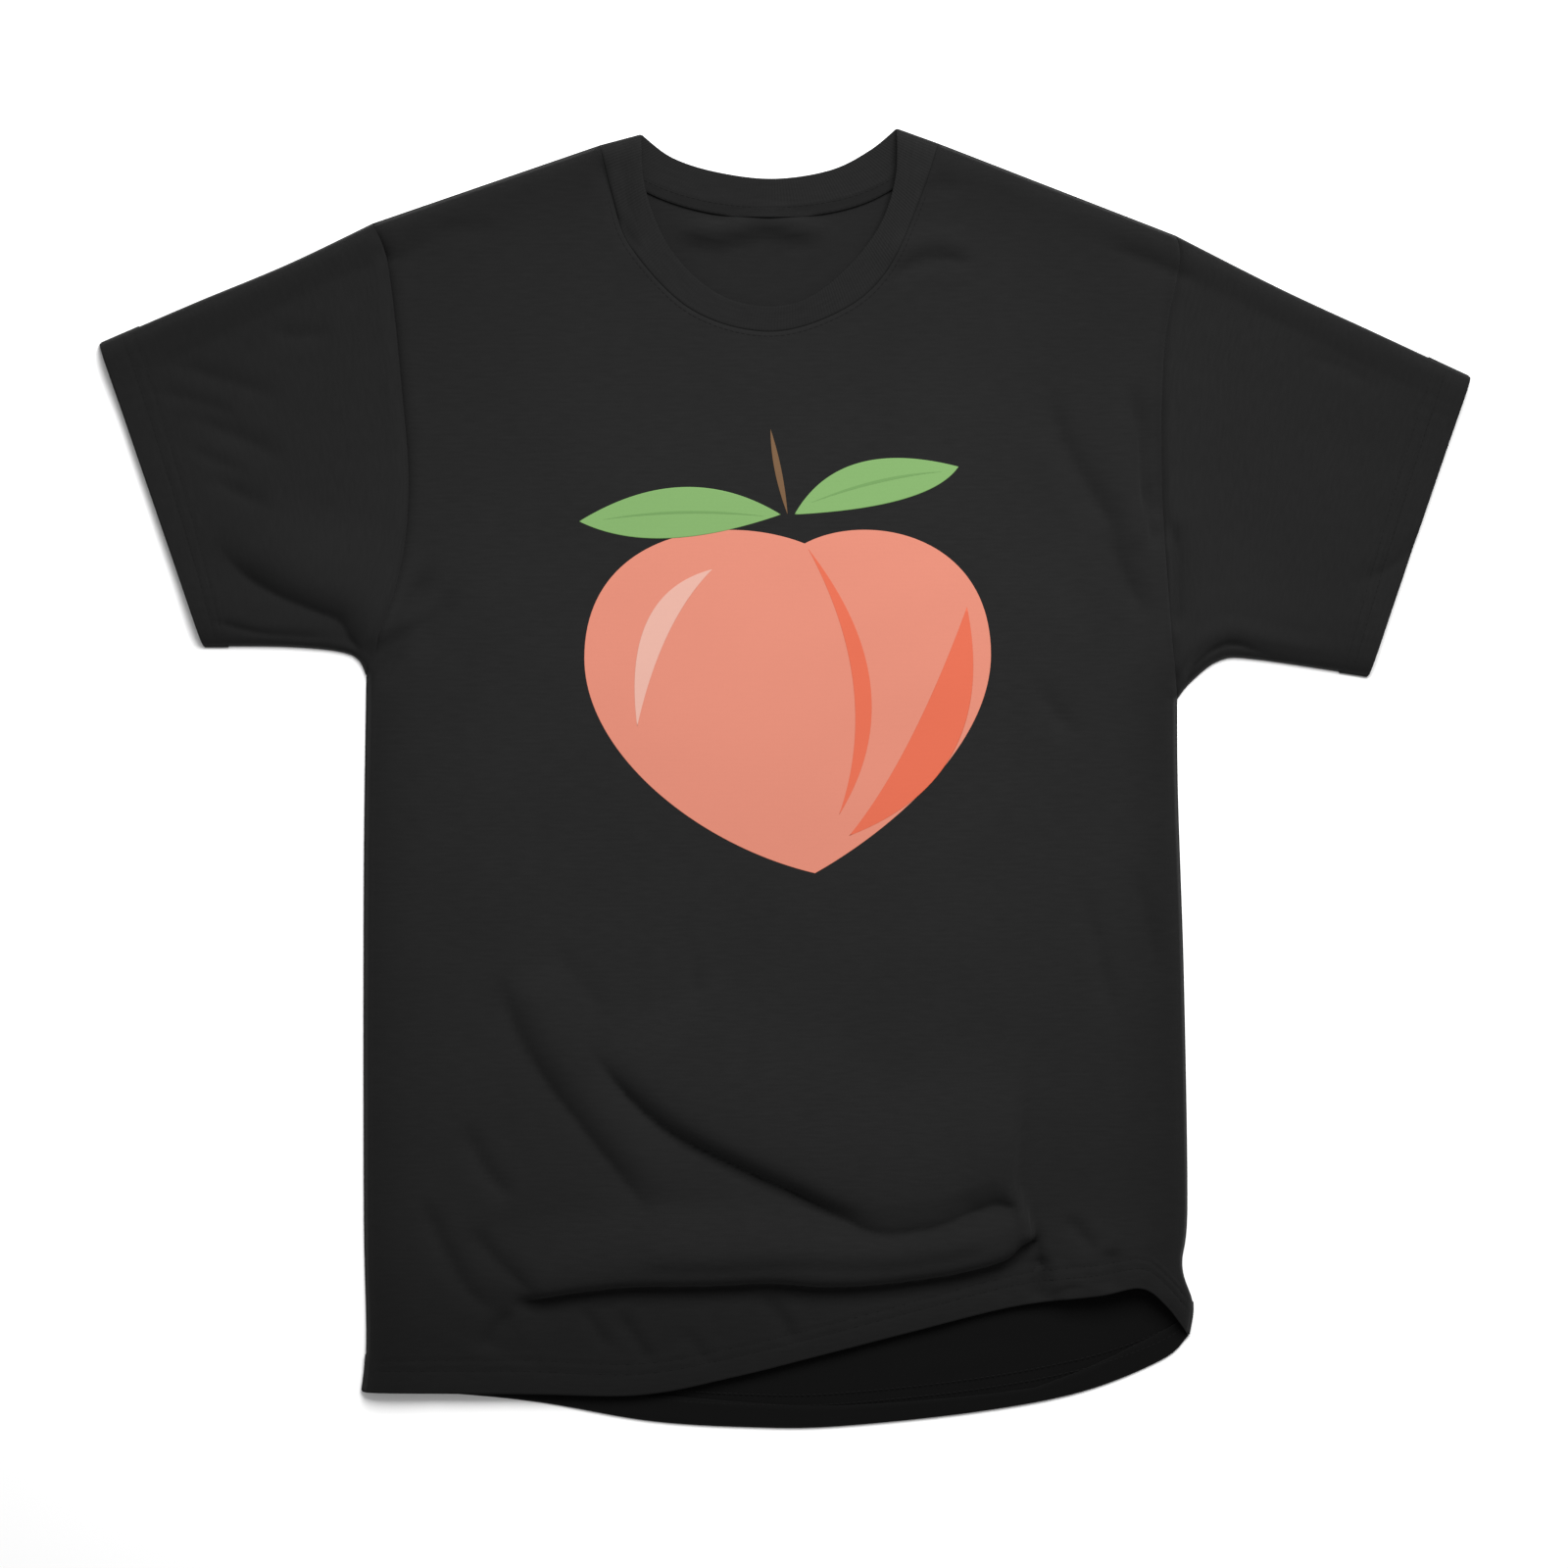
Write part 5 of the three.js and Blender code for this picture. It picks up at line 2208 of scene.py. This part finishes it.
class Garment:
    """The whole shirt: makes its pieces and dresses them."""

    BY_COLLAR = 2.6  # from the neck seam to the row of stitches outside it
    TAPE_ROWS = (-0.36, 0.36)  # places of the tape's rows, in widths of it from its middle
    INKS = {
        "peach": colour(189, 116, 97),
        "blush": colour(191, 89, 63),
        "highlight": colour(194, 149, 136),
        "leaf": colour(107, 144, 85),
        "vein": colour(94, 131, 74),
        "stem": colour(97, 71, 46),
    }

    def __init__(self) -> None:
        """Lay out the pattern and mix the finishes."""
        self.pattern = Pattern()
        self.lie = Lie(self.pattern)
        # both jerseys get painted light round the middle and painted shade towards the hem and the
        # edges
        self.jersey = KnitFinish("black jersey", grey(21), grey(29)).build()
        # the inside of the back also gets painted shade that darkens it from the chest down
        inside = KnitFinish("black jersey, inside", grey(21), grey(28), painted_hem_shade=0.08)
        self.inside = inside.build()
        # the rib and the tape get no sheen and no painted light or shade
        no_sheen_or_painted_light = {"sheen": 0.0, "painted_light_and_shade": False}
        self.rib = KnitFinish("black rib", grey(21), grey(28.5), 0.85, 0.7, 0.1, **no_sheen_or_painted_light).build()
        self.tape = KnitFinish("black tape", grey(17), grey(24), 0.6, 0.6, 0.08, **no_sheen_or_painted_light).build()
        self.thread = ThreadFinish("black thread", grey(15)).build()

    def _sew(self, name: str, lines: Sequence[Line], *nodes: str) -> bpy.types.Object:
        """Sew rows of stitches as one piece.

        Args:
            name: the piece's name.
            lines: each row's line over the cloth.
            nodes: the CAD nodes that the piece replaces.

        Returns:
            The piece.
        """
        piece = Stitching().build(name, lines)
        dress(piece, self.thread, "thread", *nodes)
        return piece

    def _hem_rows(self, panel: Panel, name: str) -> list[bpy.types.Object]:
        """Sew a panel's hem.

        Args:
            panel: the panel.
            name: which one it is.

        Returns:
            The hem's rows of stitches.
        """
        return [
            self._sew(f"{name}_hem_{row}", [panel.hem_row(far)], f"hem_stitch_{name}_{row}")
            for row, far in zip(("upper", "lower"), ROWS)
        ]

    def front(self) -> None:
        """Make the front, its stitches and its print."""
        panel = Panel(self.pattern, self.lie, True)
        piece = panel.build("front")
        dress(piece, self.jersey, "jersey", "front_body")
        on_it = self._hem_rows(panel, "front")
        on_it.append(self._sew("neck_row", [self._round_the_neck], "neck_stitch_front"))
        on_it += self.films()

    def _round_the_neck(self, share: Points) -> Points:
        """Draw the row of stitches below the collar.

        Args:
            share: shares along it.

        Returns:
            Places on the front, just outside its neck seam.
        """
        seam = self.pattern.neck_seam(True)
        from_shoulder, step = 0.1, 0.01
        share = from_shoulder + (1 - 2 * from_shoulder) * share
        ahead = seam.at(share + step) - seam.at(share - step)
        ahead /= np.linalg.norm(ahead, axis=1, keepdims=True)
        at = seam.at(share) + self.BY_COLLAR * np.stack([ahead[:, 1], -ahead[:, 0]], axis=1)
        return self.lie.upper(at[:, 0], at[:, 1])

    def films(self) -> list[bpy.types.Object]:
        """Print the peach on the front.

        Returns:
            Its films.
        """
        design = Print.over(self.lie, "print_fruit")
        wide, top, tip = design.half_width, design.top, design.tip
        finishes = {ink: InkFinish(f"{ink} ink", tint).build() for ink, tint in self.INKS.items()}
        fruit = design.fruit()
        dress(fruit, finishes["peach"], "ink_peach", "print_fruit")
        blush = (wide - 14, 100), (wide + 6, 0), (72, 10), (36, tip + 22)
        cleft = (12, top - 16), (76, 52), (56, 52), (30, tip + 34)
        highlight = (-88, 30), (-98, 108), (-74, 92), (-44, 122)
        leaf_right = (-4, top + 4), (-60, top + 38), (-78, top - 22), (-122, top)
        leaf_left = (4, top + 4), (30, top + 50), (84, top + 8), (100, top + 32)
        vein_right = (-14, top + 3), (-62, top + 10), (-62, top + 7), (-108, top + 1)
        vein_left = (14, top + 11), (52, top + 28), (54, top + 25), (90, top + 29)
        stem = (0, top + 4), (-10, top + 30), (-2, top + 30), (-10, top + 54)
        films = (
            ("blush", "blush", 1, blush),
            ("cleft", "blush", 1, cleft),
            ("highlight", "highlight", 1, highlight),
            ("leaf_right", "leaf", 1, leaf_right),
            ("leaf_left", "leaf", 1, leaf_left),
            ("vein_right", "vein", 2, vein_right),
            ("vein_left", "vein", 2, vein_left),
            ("stem", "stem", 2, stem),
        )
        made = [fruit]
        for name, ink, layer, knots in films:
            piece = design.sickle(f"{name}_film", knots, layer)
            dress(piece, finishes[ink], f"ink_{ink}", f"print_{name}")
            made.append(piece)
        return made

    def back(self) -> None:
        """Make the back, its stitches and the tape over its neck seam."""
        panel = Panel(self.pattern, self.lie, False, coarse=1.6, hem=20.0)
        piece = panel.build("back")
        dress(piece, self.inside, "jersey", "back_body")
        on_it = self._hem_rows(panel, "back")
        strip = NeckTape(self.pattern, self.lie)
        tape = strip.build("tape")
        dress(tape, self.tape, "tape", "neck_tape")
        on_it += [tape, self._sew("tape_rows", [strip.line(across) for across in self.TAPE_ROWS])]

    def sleeves(self) -> None:
        """Make both sleeves and their stitches."""
        for side in Side:
            name = f"sleeve_{side.name.lower()}"
            sleeve = Sleeve(self.pattern, self.lie, side)
            piece = sleeve.build(f"{name}_cloth")
            dress(piece, self.jersey, "jersey", name)
            for row, far in zip(("inner", "outer"), ROWS):
                lines = [sleeve.cuff_row(far, top) for top in (True, False)]
                self._sew(f"{name}_{row}", lines, f"{name}_stitch_{row}")

    def collar(self) -> None:
        """Make the collar."""
        piece = Collar(self.pattern, self.lie).build("collar")
        dress(piece, self.rib, "rib", "neck_rib")


def main() -> None:
    """Build the garment and its studio."""
    logging.basicConfig(level=logging.INFO, format="%(name)s %(message)s")
    bounds = [list(corner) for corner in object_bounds()]
    Studio.over(*bounds).build()
    Weaver.fit(*bounds)
    garment = Garment()
    garment.back()
    garment.front()
    garment.sleeves()
    garment.collar()


if __name__ == "__main__":
    main()
